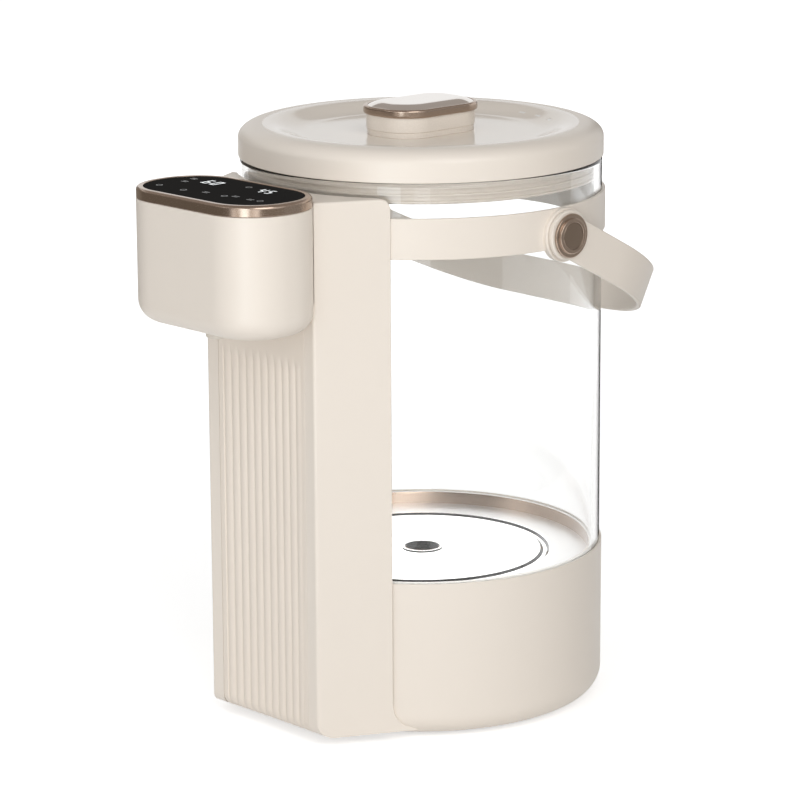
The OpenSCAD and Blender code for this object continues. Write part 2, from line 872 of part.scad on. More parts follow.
module tower_housing() {
    color("#e8dcd0") difference() {
        union() {
            difference() {
                translate([0, 0, tower_foot]) linear_extrude(tower_h) tower_plan(0);
                cylinder(h = tower_top + 1, r = tower_bore);
            }
            for (s = [0, 1]) mirror([s, 0, 0]) toe();
        }
        translate([0, 0, tower_foot + tower_wall]) linear_extrude(tower_h - 2 * tower_wall)
            difference() {
                tower_plan(tower_wall);
                circle(tower_bore + tower_wall);
                translate([-wing_x, -tower_front]) square([2 * wing_x, head_nest + tower_wall]);
            }
        translate([-panel_half, -tower_front - 1, tower_foot - 1])
            cube([2 * panel_half, panel_deep + 1, panel_top + fit - tower_foot + 1]);
        wing_cut();
        head_pocket();
        curl_cut(wing_x);
        translate([pump_x, 0, outlet_z]) rotate([90, 0, 0])
            cylinder(h = nest_y - panel_t, r = riser_hole);
        translate([pump_x, -nest_y + 2 * tower_wall, head_z + riser_cross])
            rotate([90, 0, 0]) cylinder(h = 3 * tower_wall, r = riser_hole);
        arm_slot();
        tower_fixings() cylinder(h = tower_screw_len + 1, r = screw_r + run);
    }
}

// Cutter that rounds the wings' top rear corners
module wing_cut() {
    r = wing_round;
    translate([-2 * wing_x, -wing_y - r, tower_top - r]) difference() {
        cube([4 * wing_x, r + 4, r + 4]);
        rotate([0, 90, 0]) translate([0, 0, -1]) cylinder(h = 4 * wing_x + 2, r = r);
    }
}

// Cutter that leaves room for the head in the tower's front
module head_pocket() {
    g = 2 * gap;
    translate([0, -head_y, head_z - gap])
        tub(head_w + g, head_d + g, head_corner + gap, head_h + g, head_round + gap);
}

// Cutter that rounds the bottom front edge over a half width w
module curl_cut(w) {
    c = panel_curl;
    translate([-w, -tower_front + c, tower_foot + c]) rotate([0, 90, 0]) difference() {
        translate([0, -c - 1, 0]) cube([c + 1, c + 1, 2 * w]);
        translate([0, 0, -1]) cylinder(h = 2 * w + 2, r = c);
    }
}

module tower_screws() {
    color("silver") tower_fixings() screw(tower_screw_len);
}

// Plan of the panel with its row of ribs
module rib_plan() {
    valley = tower_front - rib_depth;
    translate([-panel_half + panel_slip, -valley])
        square([2 * (panel_half - panel_slip), panel_t - rib_depth]);
    for (s = [0, 1]) mirror([s, 0]) translate([panel_half - panel_slip - rib_margin, -tower_front])
        square([rib_margin, panel_t]);
    intersection() {
        translate([-panel_half, -tower_front]) square([2 * panel_half, rib_depth + eps]);
        for (i = [0:rib_count - 1])
            translate([(i - (rib_count - 1) / 2) * rib_pitch, -tower_front + rib_circle])
                circle(rib_circle);
    }
}

module fluted_panel() {
    w = panel_half - panel_slip;
    color("#ddd0c2") difference() {
        union() {
            translate([0, 0, panel_z]) linear_extrude(rib_top - panel_z) rib_plan();
            translate([-w, -tower_front, rib_top])
                cube([2 * w, panel_t, panel_top - rib_top]);
            translate([-w, -tower_front + rib_depth, panel_z])
                cube([2 * w, panel_curl - rib_depth, panel_t]);
        }
        curl_cut(panel_half + 1);
        head_pocket();
    }
}

// ---- Head ----

module arm_slot() {
    translate([-arm_half - fit, -nest_y - head_wall - 1, head_z + arm_low - fit])
        cube([2 * (arm_half + fit), head_wall + tower_wall + 2, arm_t + 2 * fit]);
}

module head_housing() {
    color("#e8dcd0") difference() {
        translate([0, -head_y, head_z]) difference() {
            tub(head_w, head_d, head_corner, head_h - trim_h, head_round);
            translate([0, 0, head_wall]) tub(head_w - 2 * head_wall, head_d - 2 * head_wall,
                head_corner - head_wall, head_h, head_round - head_wall);
            translate([0, -spout_ahead, -1]) cylinder(h = head_wall + 2, r = spout_r + fit);
        }
        translate([pump_x, -nest_y + 1, head_z + riser_cross])
            rotate([90, 0, 0]) cylinder(h = head_wall + 3, r = riser_hole);
        arm_slot();
    }
}

module head_trim() {
    lip = 2 * board_lip;
    color("#b39a86") translate([0, -head_y, 0]) difference() {
        translate([0, 0, trim_z]) rounded_slab(head_w, head_d, head_corner, trim_h);
        translate([0, 0, touch_z]) rounded_slab(touch_w, touch_d, touch_corner, touch_t + 1);
        translate([0, 0, board_z])
            rounded_slab(touch_w - lip, touch_d - lip, touch_corner - board_lip, trim_h);
        translate([0, 0, trim_z - 1])
            rounded_slab(touch_w - 2 * lip, touch_d - 2 * lip, touch_corner - lip, trim_h);
    }
}

module touch_glass() {
    color("#2b2a29") translate([0, -head_y, touch_z])
        rounded_slab(touch_w - 2 * fit, touch_d - 2 * fit, touch_corner - fit, touch_t);
}

module display_board() {
    cut = 2 * (board_lip + fit);
    color("#3f6b4a") translate([0, -head_y, board_z])
        rounded_slab(touch_w - cut, touch_d - cut, touch_corner - board_lip - fit, board_t);
}

module head_bracket() {
    y0 = nest_y - tower_wall;
    mid = head_z + arm_low + arm_t / 2;
    color("#b9b9ba") {
        translate([-plate_half, -y0, mid - plate_h / 2]) cube([2 * plate_half, plate_t, plate_h]);
        translate([-arm_half, -nest_y - arm_reach, head_z + arm_low])
            cube([2 * arm_half, arm_reach + tower_wall + plate_t / 2, arm_t]);
    }
}

module spout_nozzle() {
    color("#d8d2c8") translate([0, -spout_y, 0]) difference() {
        union() {
            translate([0, 0, spout_low])
                cylinder(h = spout_seat + seal_ring_t + eps - spout_low, r = spout_r);
            translate([0, 0, spout_seat + seal_ring_t])
                cylinder(h = spout_flange, r = spout_r + spout_lip);
            translate([0, 0, spout_seat]) cylinder(h = spout_tip - spout_seat, r = outlet_r);
        }
        translate([0, 0, spout_low - 1]) cylinder(h = spout_seat - spout_low + 1, r = spout_bore);
        translate([0, 0, spout_low]) cylinder(h = spout_tip, r = outlet_r - outlet_wall);
    }
}

module spout_seal() {
    color("#8f8b86") translate([0, -spout_y, spout_seat])
        ring(spout_r + run, spout_r + spout_lip, seal_ring_t);
}

// ---- Handle ----

module pivot_pin(side) {
    color("#a08d7c") translate([0, pivot_y, pivot_z])
        side_cyl(side, glass_r + fit + gap, boss_x + boss_step - cap_seat, pin_r);
}

module boss_ring(side) {
    color("#b39a86") translate([0, pivot_y, pivot_z]) difference() {
        union() {
            side_cyl(side, boss_x, boss_x + boss_t, boss_r);
            side_cyl(side, boss_x, boss_x + boss_step, boss_step_r);
        }
        side_cyl(side, boss_x + boss_step - cap_seat, boss_x + boss_step + 1, cap_r + run);
        side_cyl(side, boss_x - 1, boss_x + boss_step, pin_r + run);
    }
}

module boss_cap(side) {
    seat = boss_x + boss_step - cap_seat;
    color("#7d6a5a") translate([0, pivot_y, pivot_z]) side_cyl(side, seat, seat + cap_t, cap_r);
}

module pivot_pin_left() { pivot_pin(-1); }
module pivot_pin_right() { pivot_pin(1); }
module boss_ring_left() { boss_ring(-1); }
module boss_ring_right() { boss_ring(1); }
module boss_cap_left() { boss_cap(-1); }
module boss_cap_right() { boss_cap(1); }

// Outline of a U that is open towards -Y
module u_shape(half, len, r, back) {
    translate([-half, -back]) square([2 * half, len - r + back]);
    translate([-half + r, -back]) square([2 * (half - r), len + back]);
    intersection() {
        translate([-half, 0]) square([2 * half, len]);
        for (x = [-1, 1]) translate([x * (half - r), len - r]) circle(r);
    }
}

module bail_handle() {
    t = bail_t / 2;
    color("#e8dcd0") translate([0, pivot_y, pivot_z]) rotate([-bail_rest, 0, 0]) difference() {
        union() {
            translate([0, 0, -bail_w / 2]) linear_extrude(bail_w) difference() {
                u_shape(bail_half + t, bail_len + t, bail_corner + t, 0);
                u_shape(bail_half - t, bail_len - t, bail_corner - t, 1);
            }
            for (s = [-1, 1]) side_cyl(s, bail_in, bail_in + bail_t, ear_r);
        }
        for (s = [-1, 1]) side_cyl(s, bail_in - 1, bail_in + bail_t + 1, pin_r + run);
    }
}

// ---- Lid ----

// Half section of the lid shell: straight side, elliptic edge, crest and S-shaped slope
function lid_line(w) = concat(
    [[lid_r - w, lid_z]],
    arc(crest_r, lid_shoulder, lid_edge_w - w, lid_edge_h - w, 0, 90, edge_steps),
    [for (i = [0:slope_steps]) let (u = i / slope_steps)
        [dish_r + dish_slope * (1 - u), dish_z - w + dish_depth * (1 + cos(180 * u)) / 2]],
    [[0, dish_z - w]]);

module lid_shell() {
    color("#e8dcd0") difference() {
        rotate_extrude() polygon(concat(lid_line(0), reversed(lid_line(lid_wall))));
        for (i = [0:vent_count - 1])
            rotate([0, 0, vent_azimuth + (i - (vent_count - 1) / 2) * vent_step])
                translate([vent_r - vent_t / 2, -vent_w / 2, dish_z - lid_wall - 2])
                    cube([vent_t, vent_w, lid_wall + dish_depth + 4]);
        knob_fixings() cylinder(h = 3 * lid_wall, r = screw_r + run);
    }
}

module lid_plug() {
    color("#d8d2c8") difference() {
        union() {
            translate([0, 0, plug_low]) cylinder(h = gasket_top - plug_low + eps, r = plug_r);
            translate([0, 0, gasket_top]) cylinder(h = plug_flange, r = skirt_r - fit);
        }
        translate([0, 0, plug_low + plug_wall]) cylinder(h = plug_depth + 6, r = plug_r - plug_wall);
        for (i = [-1:1]) rotate([0, 0, vent_azimuth + steam_step * i])
            translate([plug_r - steam_set, 0, plug_low - 1]) cylinder(h = plug_wall + 2, r = steam_r);
    }
}

module lid_gasket() {
    color("#b8b2a6") translate([0, 0, glass_top + gasket_lift])
        ring(plug_r + run, skirt_r - fit, gasket_t);
}

module plug_seal() {
    color("#a39d8e") {
        translate([0, 0, plug_low + lip_t]) ring(plug_r, plug_r + lip_band, lip_pitch * lip_count - lip_t);
        for (i = [0:lip_count - 1]) translate([0, 0, plug_low + lip_t + lip_pitch * i])
            ring(plug_r + lip_band - eps, lip_r_out, lip_t);
    }
}

// ---- Knob ----

module knob_fixings() {
    for (x = [-1, 1])
        translate([x * knob_screw_x, 0, dish_z - lid_wall - screw_head_h]) children();
}

module knob_body() {
    inset = 2 * seam_in;
    color("#e8dcd0") difference() {
        translate([0, 0, dish_z]) {
            rounded_slab(knob_w - inset, knob_d - inset, knob_corner - seam_in, knob_h);
            translate([0, 0, seam_h]) rounded_slab(knob_w, knob_d, knob_corner, knob_h - seam_h);
        }
        knob_fixings() cylinder(h = screw_head_h + knob_screw_len + lid_wall, r = screw_r + run);
    }
}

module knob_ring() {
    w = knob_w + 2 * ring_out;
    d = knob_d + 2 * ring_out;
    r = knob_corner + ring_out;
    color("#b39a86") difference() {
        translate([0, 0, ring_z]) rounded_slab(w, d, r, ring_h);
        translate([0, 0, knob_top - cap_seat_h])
            rounded_slab(w - 2 * cap_in, d - 2 * cap_in, r - cap_in, cap_seat_h + 1);
    }
}

module knob_cap() {
    cut = 2 * (cap_in + fit);
    color("#cdbfb0") translate([0, 0, knob_top - cap_seat_h])
        rounded_slab(knob_w + 2 * ring_out - cut, knob_d + 2 * ring_out - cut,
            knob_corner + ring_out - cap_in - fit, cap_seat_h + cap_rise);
}

module knob_screw() {
    color("silver") knob_fixings() screw(lid_wall + knob_screw_len - 1);
}

base_shell();
bottom_cover();
rubber_feet();
cover_screws();
steel_pan();
pan_seal();
heat_spreader();
heating_element();
thermostat();
temperature_probe();
intake_strainer();
suction_hose();
pump_housing();
pump_impeller();
pump_motor();
pump_bracket();
riser_tube();
power_board();
inlet_socket();
inlet_pins();
glass_tube();
collar_band();
tower_housing();
tower_screws();
fluted_panel();
head_housing();
head_trim();
touch_glass();
display_board();
head_bracket();
spout_nozzle();
spout_seal();
pivot_pin_left();
pivot_pin_right();
boss_ring_left();
boss_ring_right();
boss_cap_left();
boss_cap_right();
bail_handle();
lid_shell();
lid_plug();
lid_gasket();
plug_seal();
knob_body();
knob_ring();
knob_cap();
knob_screw();
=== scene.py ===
"""Looks of the electric thermo pot: surfaces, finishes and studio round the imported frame."""
import math

import bmesh
import bpy
import numpy as np
from bpy.props import FloatProperty, FloatVectorProperty, IntProperty, PointerProperty
from mathutils import Matrix, Vector


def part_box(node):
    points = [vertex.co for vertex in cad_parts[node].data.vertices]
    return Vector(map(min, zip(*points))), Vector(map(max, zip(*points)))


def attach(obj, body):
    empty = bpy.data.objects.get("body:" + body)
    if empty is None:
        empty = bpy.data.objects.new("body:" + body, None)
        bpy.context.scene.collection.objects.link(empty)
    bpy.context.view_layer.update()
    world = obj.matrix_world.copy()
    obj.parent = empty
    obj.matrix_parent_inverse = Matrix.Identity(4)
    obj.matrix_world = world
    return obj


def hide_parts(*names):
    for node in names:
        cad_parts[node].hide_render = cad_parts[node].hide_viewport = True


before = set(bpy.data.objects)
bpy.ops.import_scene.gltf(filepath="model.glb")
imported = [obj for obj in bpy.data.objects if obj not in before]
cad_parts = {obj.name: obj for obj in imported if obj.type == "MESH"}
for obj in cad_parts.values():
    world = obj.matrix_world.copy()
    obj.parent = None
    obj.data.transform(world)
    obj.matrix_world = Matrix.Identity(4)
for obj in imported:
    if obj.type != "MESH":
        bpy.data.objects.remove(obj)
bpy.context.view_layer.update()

bl_info = {
    "name": "Thermo Pot Looks",
    "version": (1, 0, 0),
    "blender": (4, 5, 0),
    "location": "View3D > Sidebar > Thermo Pot",
    "description": "Builds the visible surfaces of an electric thermo pot round its frame",
    "category": "Object",
}

MM = 0.001


def low(node):
    """Lowest corner of a frame node in millimetres."""
    return np.array(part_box(node)[0]) / MM


def high(node):
    """Highest corner of a frame node in millimetres."""
    return np.array(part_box(node)[1]) / MM


def linear(rgb):
    """Linear colour of an 8-bit screen colour, by the screen's transfer curve."""
    c = np.array(rgb, float) / 255
    return tuple(np.where(c <= 0.04045, c / 12.92, ((c + 0.055) / 1.055) ** 2.4))


# ---------------------------------------------------------------- values

def length(name, text, value):
    """A size in millimetres that the sidebar shows."""
    return FloatProperty(name=name, description=text, default=float(value), min=0.0, soft_max=400.0)


def colour(name, text, rgb):
    """A finish's colour that the sidebar shows."""
    return FloatVectorProperty(name=name, description=text, subtype="COLOR", size=3,
                               min=0.0, max=1.0, default=linear(rgb))


class PotSizes(bpy.types.PropertyGroup):
    """Sizes of the pot's visible surfaces, in millimetres."""
    glass_r: length("Glass radius", "Outer radius of the glass", high("glass_tube")[0])
    glass_wall: length("Glass wall", "Wall of the glass", 4)
    glass_low: length("Glass foot", "Height of the glass's lower end", low("glass_tube")[2])
    glass_top: length("Glass rim", "Height of the glass's rim", high("glass_tube")[2])
    base_r: length("Base radius", "Outer radius of the base", high("base_shell")[0])
    base_top: length("Base rim", "Height of the base's rim", high("base_shell")[2])
    base_round: length("Base rounding", "Radius of the base's lower edge", 20)
    front: length("Tower front", "Distance of the tower's front corners from the axis", 113.3)
    front_half: length("Tower half width", "Half width of the tower's front", 41.5)
    hollow: length("Hollow", "Depth of the shallow hollow in the tower's front", 1.7)
    curl: length("Curl", "Radius of the tower's lower front edge", 8)
    rib_pitch: length("Rib pitch", "Distance between two ribs", 5.54)
    rib_depth: length("Rib depth", "Height of a rib above its valleys", 0.95)
    head_corner: length("Head corner", "Corner radius of the head in plan", 27)
    head_round: length("Head rounding", "Radius of the head's lower edge", 16)
    trim_w: length("Trim width", "Width of the trim round the touch glass", 3.7)
    strap_w: length("Strap width", "Width of the handle's strap", 22)
    strap_t: length("Strap thickness", "Thickness of the handle's strap", 2.6)
    rib_count: IntProperty(name="Ribs", description="Number of ribs", default=11, min=1, max=20)


class PotColours(bpy.types.PropertyGroup):
    """Colours of the pot's finishes."""
    cream: colour("Cream", "Moulded plastic of the body", (235, 226, 215))
    flute: colour("Flutes", "Fluted panel", (235, 225, 213))
    pale: colour("Pale plastic", "Plug and spout", (221, 214, 203))
    rose: colour("Rose metal", "Trim, knob ring and bosses", (180, 161, 146))
    bronze: colour("Bronze", "Caps of the bosses", (158, 140, 125))
    mirror: colour("Mirror cap", "Polished cap of the knob", (226, 220, 214))
    black: colour("Touch glass", "Black glass of the head", (47, 46, 45))
    light: colour("Display", "Lit digits and marks", (240, 244, 246))
    steel: colour("Steel", "Screws, brackets and castings", (226, 225, 223))
    pan: colour("Pan steel", "Polished pan and strainer", (251, 250, 249))
    # the pan wall's brown is a painted reflection of warm surroundings, not the steel's own colour
    wall: colour("Pan wall", "Upturned rim of the pan", (190, 170, 154))
    seal: colour("Silicone", "Seals of the lid", (182, 173, 162))
    white_seal: colour("White silicone", "Seal of the tank", (242, 239, 234))
    dark: colour("Dark plastic", "Mains inlet and motor", (40, 38, 36))
    board: colour("Board", "Circuit boards", (46, 92, 62))
    brass: colour("Brass", "Inlet pins", (205, 178, 112))
    rubber: colour("Rubber", "Feet", (86, 80, 74))


# ---------------------------------------------------------------- surfaces

# share of a side that the rounding at one of its ends may take
CORNER_SHARE = 0.49
# distances in metres: points merged on a new piece and on a frame node, and slivers dissolved
WELD, NODE_WELD, SLIVER = 2e-6, 1e-6, 1e-7


def turn(steps):
    """Angles of a full turn in degrees."""
    return np.linspace(0, 360, steps + 1)


def quarter(steps):
    """Angles of a quarter turn in radians."""
    return np.radians(np.linspace(0, 90, steps + 1))


def rounded_line(points, radii, closed=False, steps=6, guard=0.3):
    """Polyline whose corner i becomes an arc of radius r tangent to both sides; a guard point
    beside each end of the arc keeps the flat sides flat when they are shaded smooth."""
    p = np.array(points, float)
    rows = []
    for i, radius in enumerate(radii):
        if radius <= 0 or (not closed and i in (0, len(p) - 1)):
            rows.append(p[i][None])
            continue
        a, b = p[i - 1] - p[i], p[(i + 1) % len(p)] - p[i]
        la, lb = np.linalg.norm(a), np.linalg.norm(b)
        a, b = a / la, b / lb
        half = math.acos(np.clip(a @ b, -1, 1)) / 2
        d = min(radius / math.tan(half), CORNER_SHARE * min(la, lb))
        centre = p[i] + (a + b) / np.linalg.norm(a + b) * d / math.cos(half)
        t0, t1 = p[i] + a * d - centre, p[i] + b * d - centre
        a0 = math.atan2(t0[1], t0[0])
        sweep = (math.atan2(t1[1], t1[0]) - a0 + math.pi) % (2 * math.pi) - math.pi
        t = a0 + sweep * np.linspace(0, 1, steps + 1)
        arc = centre + np.linalg.norm(t0) * np.stack([np.cos(t), np.sin(t)], 1)
        ga, gb = min(guard, 0.5 * la - d), min(guard, 0.5 * lb - d)
        rows += [(p[i] + a * (d + max(ga, 0)))[None], arc, (p[i] + b * (d + max(gb, 0)))[None]]
    line = np.vstack(rows)
    if closed:
        line = np.vstack([line, line[:1]])
    return line


def lathe(profile, angles=turn(192)):
    """Profile (r, z) turned about +Z: the point at angle a is (r cos a, r sin a, z)."""
    a = np.radians(angles)[:, None]
    r, z = profile[None, :, 0], profile[None, :, 1]
    return np.stack([r * np.cos(a), r * np.sin(a), z + 0 * a], -1)


def sideways(grid, side, y, z):
    """A surface turned about +Z laid along X on one side: (x, y, z) becomes (z, x, y)."""
    g = grid[..., [2, 0, 1]] * np.array([side, side, 1.0])
    return g + np.array([0, y, z])


def slab_ring(w, d, r, corner=14, side=10):
    """Corner centres C and outward normals N round a rounded rectangle: a point drawn in by o
    is C + N (r - o)."""
    cx, cy = w / 2 - r, d / 2 - r
    centres = np.array([[cx, cy], [-cx, cy], [-cx, -cy], [cx, -cy]])
    t = quarter(corner)
    s = np.linspace(0, 1, side + 1)[1:-1, None]
    c_rows, n_rows = [], []
    for k in range(4):
        a = t + k * math.pi / 2
        c_rows.append(np.repeat(centres[k:k + 1], corner + 1, 0))
        n_rows.append(np.stack([np.cos(a), np.sin(a)], 1))
        nxt = centres[(k + 1) % 4]
        c_rows.append(centres[k] * (1 - s) + nxt * s)
        n_rows.append(np.repeat(n_rows[-1][-1:], len(s), 0))
    c, n = np.vstack(c_rows), np.vstack(n_rows)
    return np.vstack([c, c[:1]]), np.vstack([n, n[:1]])


def pod(w, d, r, rows, at=(0.0, 0.0), corner=14, side=10):
    """Body round a rounded rectangle. Each row is (inset o, height z, scale s), and its points
    are s (C + N (r - o)) at height z, so s from 1 to 0 closes an end."""
    c, n = slab_ring(w, d, r, corner, side)
    o, z, s = [np.array(v, float)[None, :, None] for v in np.array(rows, float).T]
    xy = s * (c[:, None] + n[:, None] * (r - o)) + np.array(at)
    return np.concatenate([xy, np.broadcast_to(z, xy.shape[:2] + (1,))], -1)


def pod_rows(line, close=(True, True), rings=5):
    """Rows for pod from a profile (inset, height), with both ends drawn to the middle."""
    line = np.array(line, float)
    rows = np.column_stack([line, np.ones(len(line))])
    s = np.linspace(0, 1, rings, endpoint=False)
    first = np.column_stack([np.repeat(line[:1], rings, 0), s])
    last = np.column_stack([np.repeat(line[-1:], rings, 0), s[::-1]])
    return np.vstack([first if close[0] else rows[:0], rows, last if close[1] else rows[:0]])


def between(a, b, n=2):
    """Ruled surface: straight lines from each point of row a to the same point of row b."""
    t = np.linspace(0, 1, n)[None, :, None]
    return a[:, None] * (1 - t) + b[:, None] * t


def rim_strips(a, b):
    """Ruled strips that join the four edges of two grids of the same shape."""
    return [between(a[0], b[0]), between(a[-1], b[-1]),
            between(a[:, 0], b[:, 0]), between(a[:, -1], b[:, -1])]


def cells(grid, keep=None):
    """Four-sided faces of a grid of points, numbered row by row, where keep is true."""
    nu, nv = grid.shape[:2]
    k = np.arange(nu * nv).reshape(nu, nv)
    q = np.stack([k[:-1, :-1], k[1:, :-1], k[1:, 1:], k[:-1, 1:]], -1)
    return q.reshape(-1, 4) if keep is None else q[keep]


def cell_middles(grid):
    """Middle of each face of a grid."""
    return (grid[:-1, :-1] + grid[1:, :-1] + grid[1:, 1:] + grid[:-1, 1:]) / 4


def finish_mesh(mesh, sharp, weld):
    """Merges doubles, turns faces outwards, and shades smooth but for edges over an angle.
    Gives the number of open edges."""
    bm = bmesh.new()
    bm.from_mesh(mesh)
    bmesh.ops.remove_doubles(bm, verts=bm.verts, dist=weld)
    bmesh.ops.dissolve_degenerate(bm, dist=SLIVER, edges=bm.edges)
    wires = [e for e in bm.edges if not e.link_faces]
    bmesh.ops.delete(bm, geom=wires, context="EDGES")
    bmesh.ops.recalc_face_normals(bm, faces=bm.faces)
    loose = sum(1 for e in bm.edges if not e.is_manifold)
    bm.to_mesh(mesh)
    bm.free()
    mesh.polygons.foreach_set("use_smooth", np.ones(len(mesh.polygons), bool))
    mesh.set_sharp_from_angle(angle=math.radians(sharp))
    mesh.update()
    return loose


def piece(name, sheets, finish, body="pot", nodes=(), sharp=33):
    """One closed piece from sheets of points in millimetres. A sheet may come with a mask of
    the faces that it keeps."""
    points, faces, base = [], [], 0
    for sheet in sheets:
        grid, keep = sheet if isinstance(sheet, tuple) else (sheet, None)
        points.append(grid.reshape(-1, 3))
        faces.append(cells(grid, keep) + base)
        base += len(points[-1])
    mesh = bpy.data.meshes.new(name)
    mesh.from_pydata((np.vstack(points) * MM).tolist(), [], np.vstack(faces).tolist())
    loose = finish_mesh(mesh, sharp, WELD)
    if loose:
        raise ValueError("%s has %d open edges" % (name, loose))
    place(name, mesh, finish, body, nodes)


def place(name, mesh, finish, body, nodes):
    """Object for a finished mesh, with its finish and body; it hides the frame nodes it replaces.
    """
    obj = bpy.data.objects.new(name, mesh)
    bpy.context.scene.collection.objects.link(obj)
    mesh.materials.clear()
    mesh.materials.append(FINISH[finish])
    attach(obj, body)
    if nodes:
        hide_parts(*nodes)


def smoothed(node, name, finish, sharp=28):
    """A merged and smoothly shaded copy of one of the pot's frame nodes, which it replaces."""
    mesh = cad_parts[node].data.copy()
    mesh.name = name
    finish_mesh(mesh, sharp, NODE_WELD)
    place(name, mesh, finish, "pot", (node,))


# ---------------------------------------------------------------- finishes

FINISH = {}


def set_inputs(node, values):
    """Sets a node's inputs by name."""
    for key, value in dict(values).items():
        node.inputs[key].default_value = value


def link_all(tree, pairs):
    """Links each output to its input."""
    for a, b in pairs:
        tree.links.new(a, b)


def new_nodes(tree, *kinds):
    """New shader nodes of a tree, one for each kind named."""
    return [tree.nodes.new("ShaderNode" + kind) for kind in kinds]


def start_group(name, second, own, kind, value):
    """Node group with the inputs and outputs that every finish has, a second colour under the
    name given, and one input of its own. It comes back with its two ends."""
    tree = bpy.data.node_groups.new(name, "ShaderNodeTree")
    for label, form, default in (
            ("Colour", "NodeSocketColor", (0.8, 0.8, 0.8, 1)),
            (second, "NodeSocketColor", (0.7, 0.7, 0.7, 1)), ("Smooth", "NodeSocketFloat", 0.3),
            ("Rough", "NodeSocketFloat", 0.45), (own, kind, value)):
        inward = tree.interface.new_socket(name=label, in_out="INPUT", socket_type=form)
        inward.default_value = default
    for label, form in (("Colour", "NodeSocketColor"), ("Roughness", "NodeSocketFloat"),
                        ("Height", "NodeSocketFloat")):
        tree.interface.new_socket(name=label, in_out="OUTPUT", socket_type=form)
    return tree, tree.nodes.new("NodeGroupInput"), tree.nodes.new("NodeGroupOutput")


def end_group(tree, given, out, colours, shade, gloss, height):
    """End of every finish's group: the shade mask mixes two of the colours, the gloss mask runs
    from the smooth to the rough value, and the height goes out as it is."""
    mix, rough = new_nodes(tree, "Mix", "MapRange")
    mix.data_type = "RGBA"
    link_all(tree, [(shade, mix.inputs["Factor"]),
                    (given.outputs[colours[0]], mix.inputs[6]),
                    (given.outputs[colours[1]], mix.inputs[7]),
                    (gloss, rough.inputs["Value"]),
                    (given.outputs["Smooth"], rough.inputs["To Min"]),
                    (given.outputs["Rough"], rough.inputs["To Max"]),
                    (mix.outputs[2], out.inputs["Colour"]),
                    (rough.outputs["Result"], out.inputs["Roughness"]),
                    (height, out.inputs["Height"])])
    return tree


def grain_group():
    """Node group of moulded plastic: a fine spark-eroded grain gives the roughness and the
    height, and a slow one the shade."""
    tree, given, out = start_group("Moulded grain", "Deep colour", "Grain size",
                                   "NodeSocketFloat", 1800.0)
    place_on, fine, slow = new_nodes(tree, "TexCoord", "TexNoise", "TexNoise")
    set_inputs(fine, {"Detail": 2})
    set_inputs(slow, {"Scale": 26, "Detail": 3})
    link_all(tree, [(place_on.outputs["Object"], fine.inputs["Vector"]),
                    (place_on.outputs["Object"], slow.inputs["Vector"]),
                    (given.outputs["Grain size"], fine.inputs["Scale"])])
    return end_group(tree, given, out, ("Colour", "Deep colour"), slow.outputs["Fac"],
                     fine.outputs["Fac"], fine.outputs["Fac"])


def brushed_group():
    """Node group of brushed or spun metal: fine lines, stretched along one direction."""
    tree, given, out = start_group("Brushed lines", "Line and painted shade colour", "Stretch",
                                   "NodeSocketVector", (60, 60, 2600))
    place_on, stretch, lines = new_nodes(tree, "TexCoord", "VectorMath", "TexNoise")
    stretch.operation = "MULTIPLY"
    set_inputs(lines, {"Scale": 1, "Detail": 4})
    link_all(tree, [(place_on.outputs["Object"], stretch.inputs[0]),
                    (given.outputs["Stretch"], stretch.inputs[1]),
                    (stretch.outputs["Vector"], lines.inputs["Vector"])])
    return end_group(tree, given, out, ("Colour", "Line and painted shade colour"), lines.outputs["Fac"],
                     lines.outputs["Fac"], lines.outputs["Fac"])


def pressed_group():
    """Node group of a pressed sheet: sharply sloping faces take the second colour as painted shade
    and reflection; it is smooth within the groove's radius of the object's axis, rough outside."""
    tree, given, out = start_group("Pressed sheet with painted slope shade", "Line and painted shade colour", "Groove radius",
                                   "NodeSocketFloat", 0.069)
    place_on, up, painted_slope_shade, across, size, outside = new_nodes(
        tree, "TexCoord", "SeparateXYZ", "MapRange", "VectorMath", "VectorMath", "Math")
    across.operation, size.operation, outside.operation = "MULTIPLY", "LENGTH", "GREATER_THAN"
    across.inputs[1].default_value = (1, 1, 0)
    # painted shade and reflection: the more sharply a face slopes, the more it takes the dark
    # second colour
    set_inputs(painted_slope_shade, {"From Min": 0.9, "From Max": 0.995})
    link_all(tree, [(place_on.outputs["Normal"], up.inputs["Vector"]),
                    (up.outputs["Z"], painted_slope_shade.inputs["Value"]),
                    (place_on.outputs["Object"], across.inputs[0]),
                    (across.outputs["Vector"], size.inputs[0]),
                    (size.outputs["Value"], outside.inputs[0]),
                    (given.outputs["Groove radius"], outside.inputs[1])])
    return end_group(tree, given, out, ("Line and painted shade colour", "Colour"), painted_slope_shade.outputs["Result"],
                     outside.outputs["Value"], painted_slope_shade.outputs["Result"])


def new_material(name):
    """Material with its node tree and its Principled shader."""
    mat = bpy.data.materials.new(name)
    mat.use_nodes = True
    return mat, mat.node_tree, mat.node_tree.nodes["Principled BSDF"]


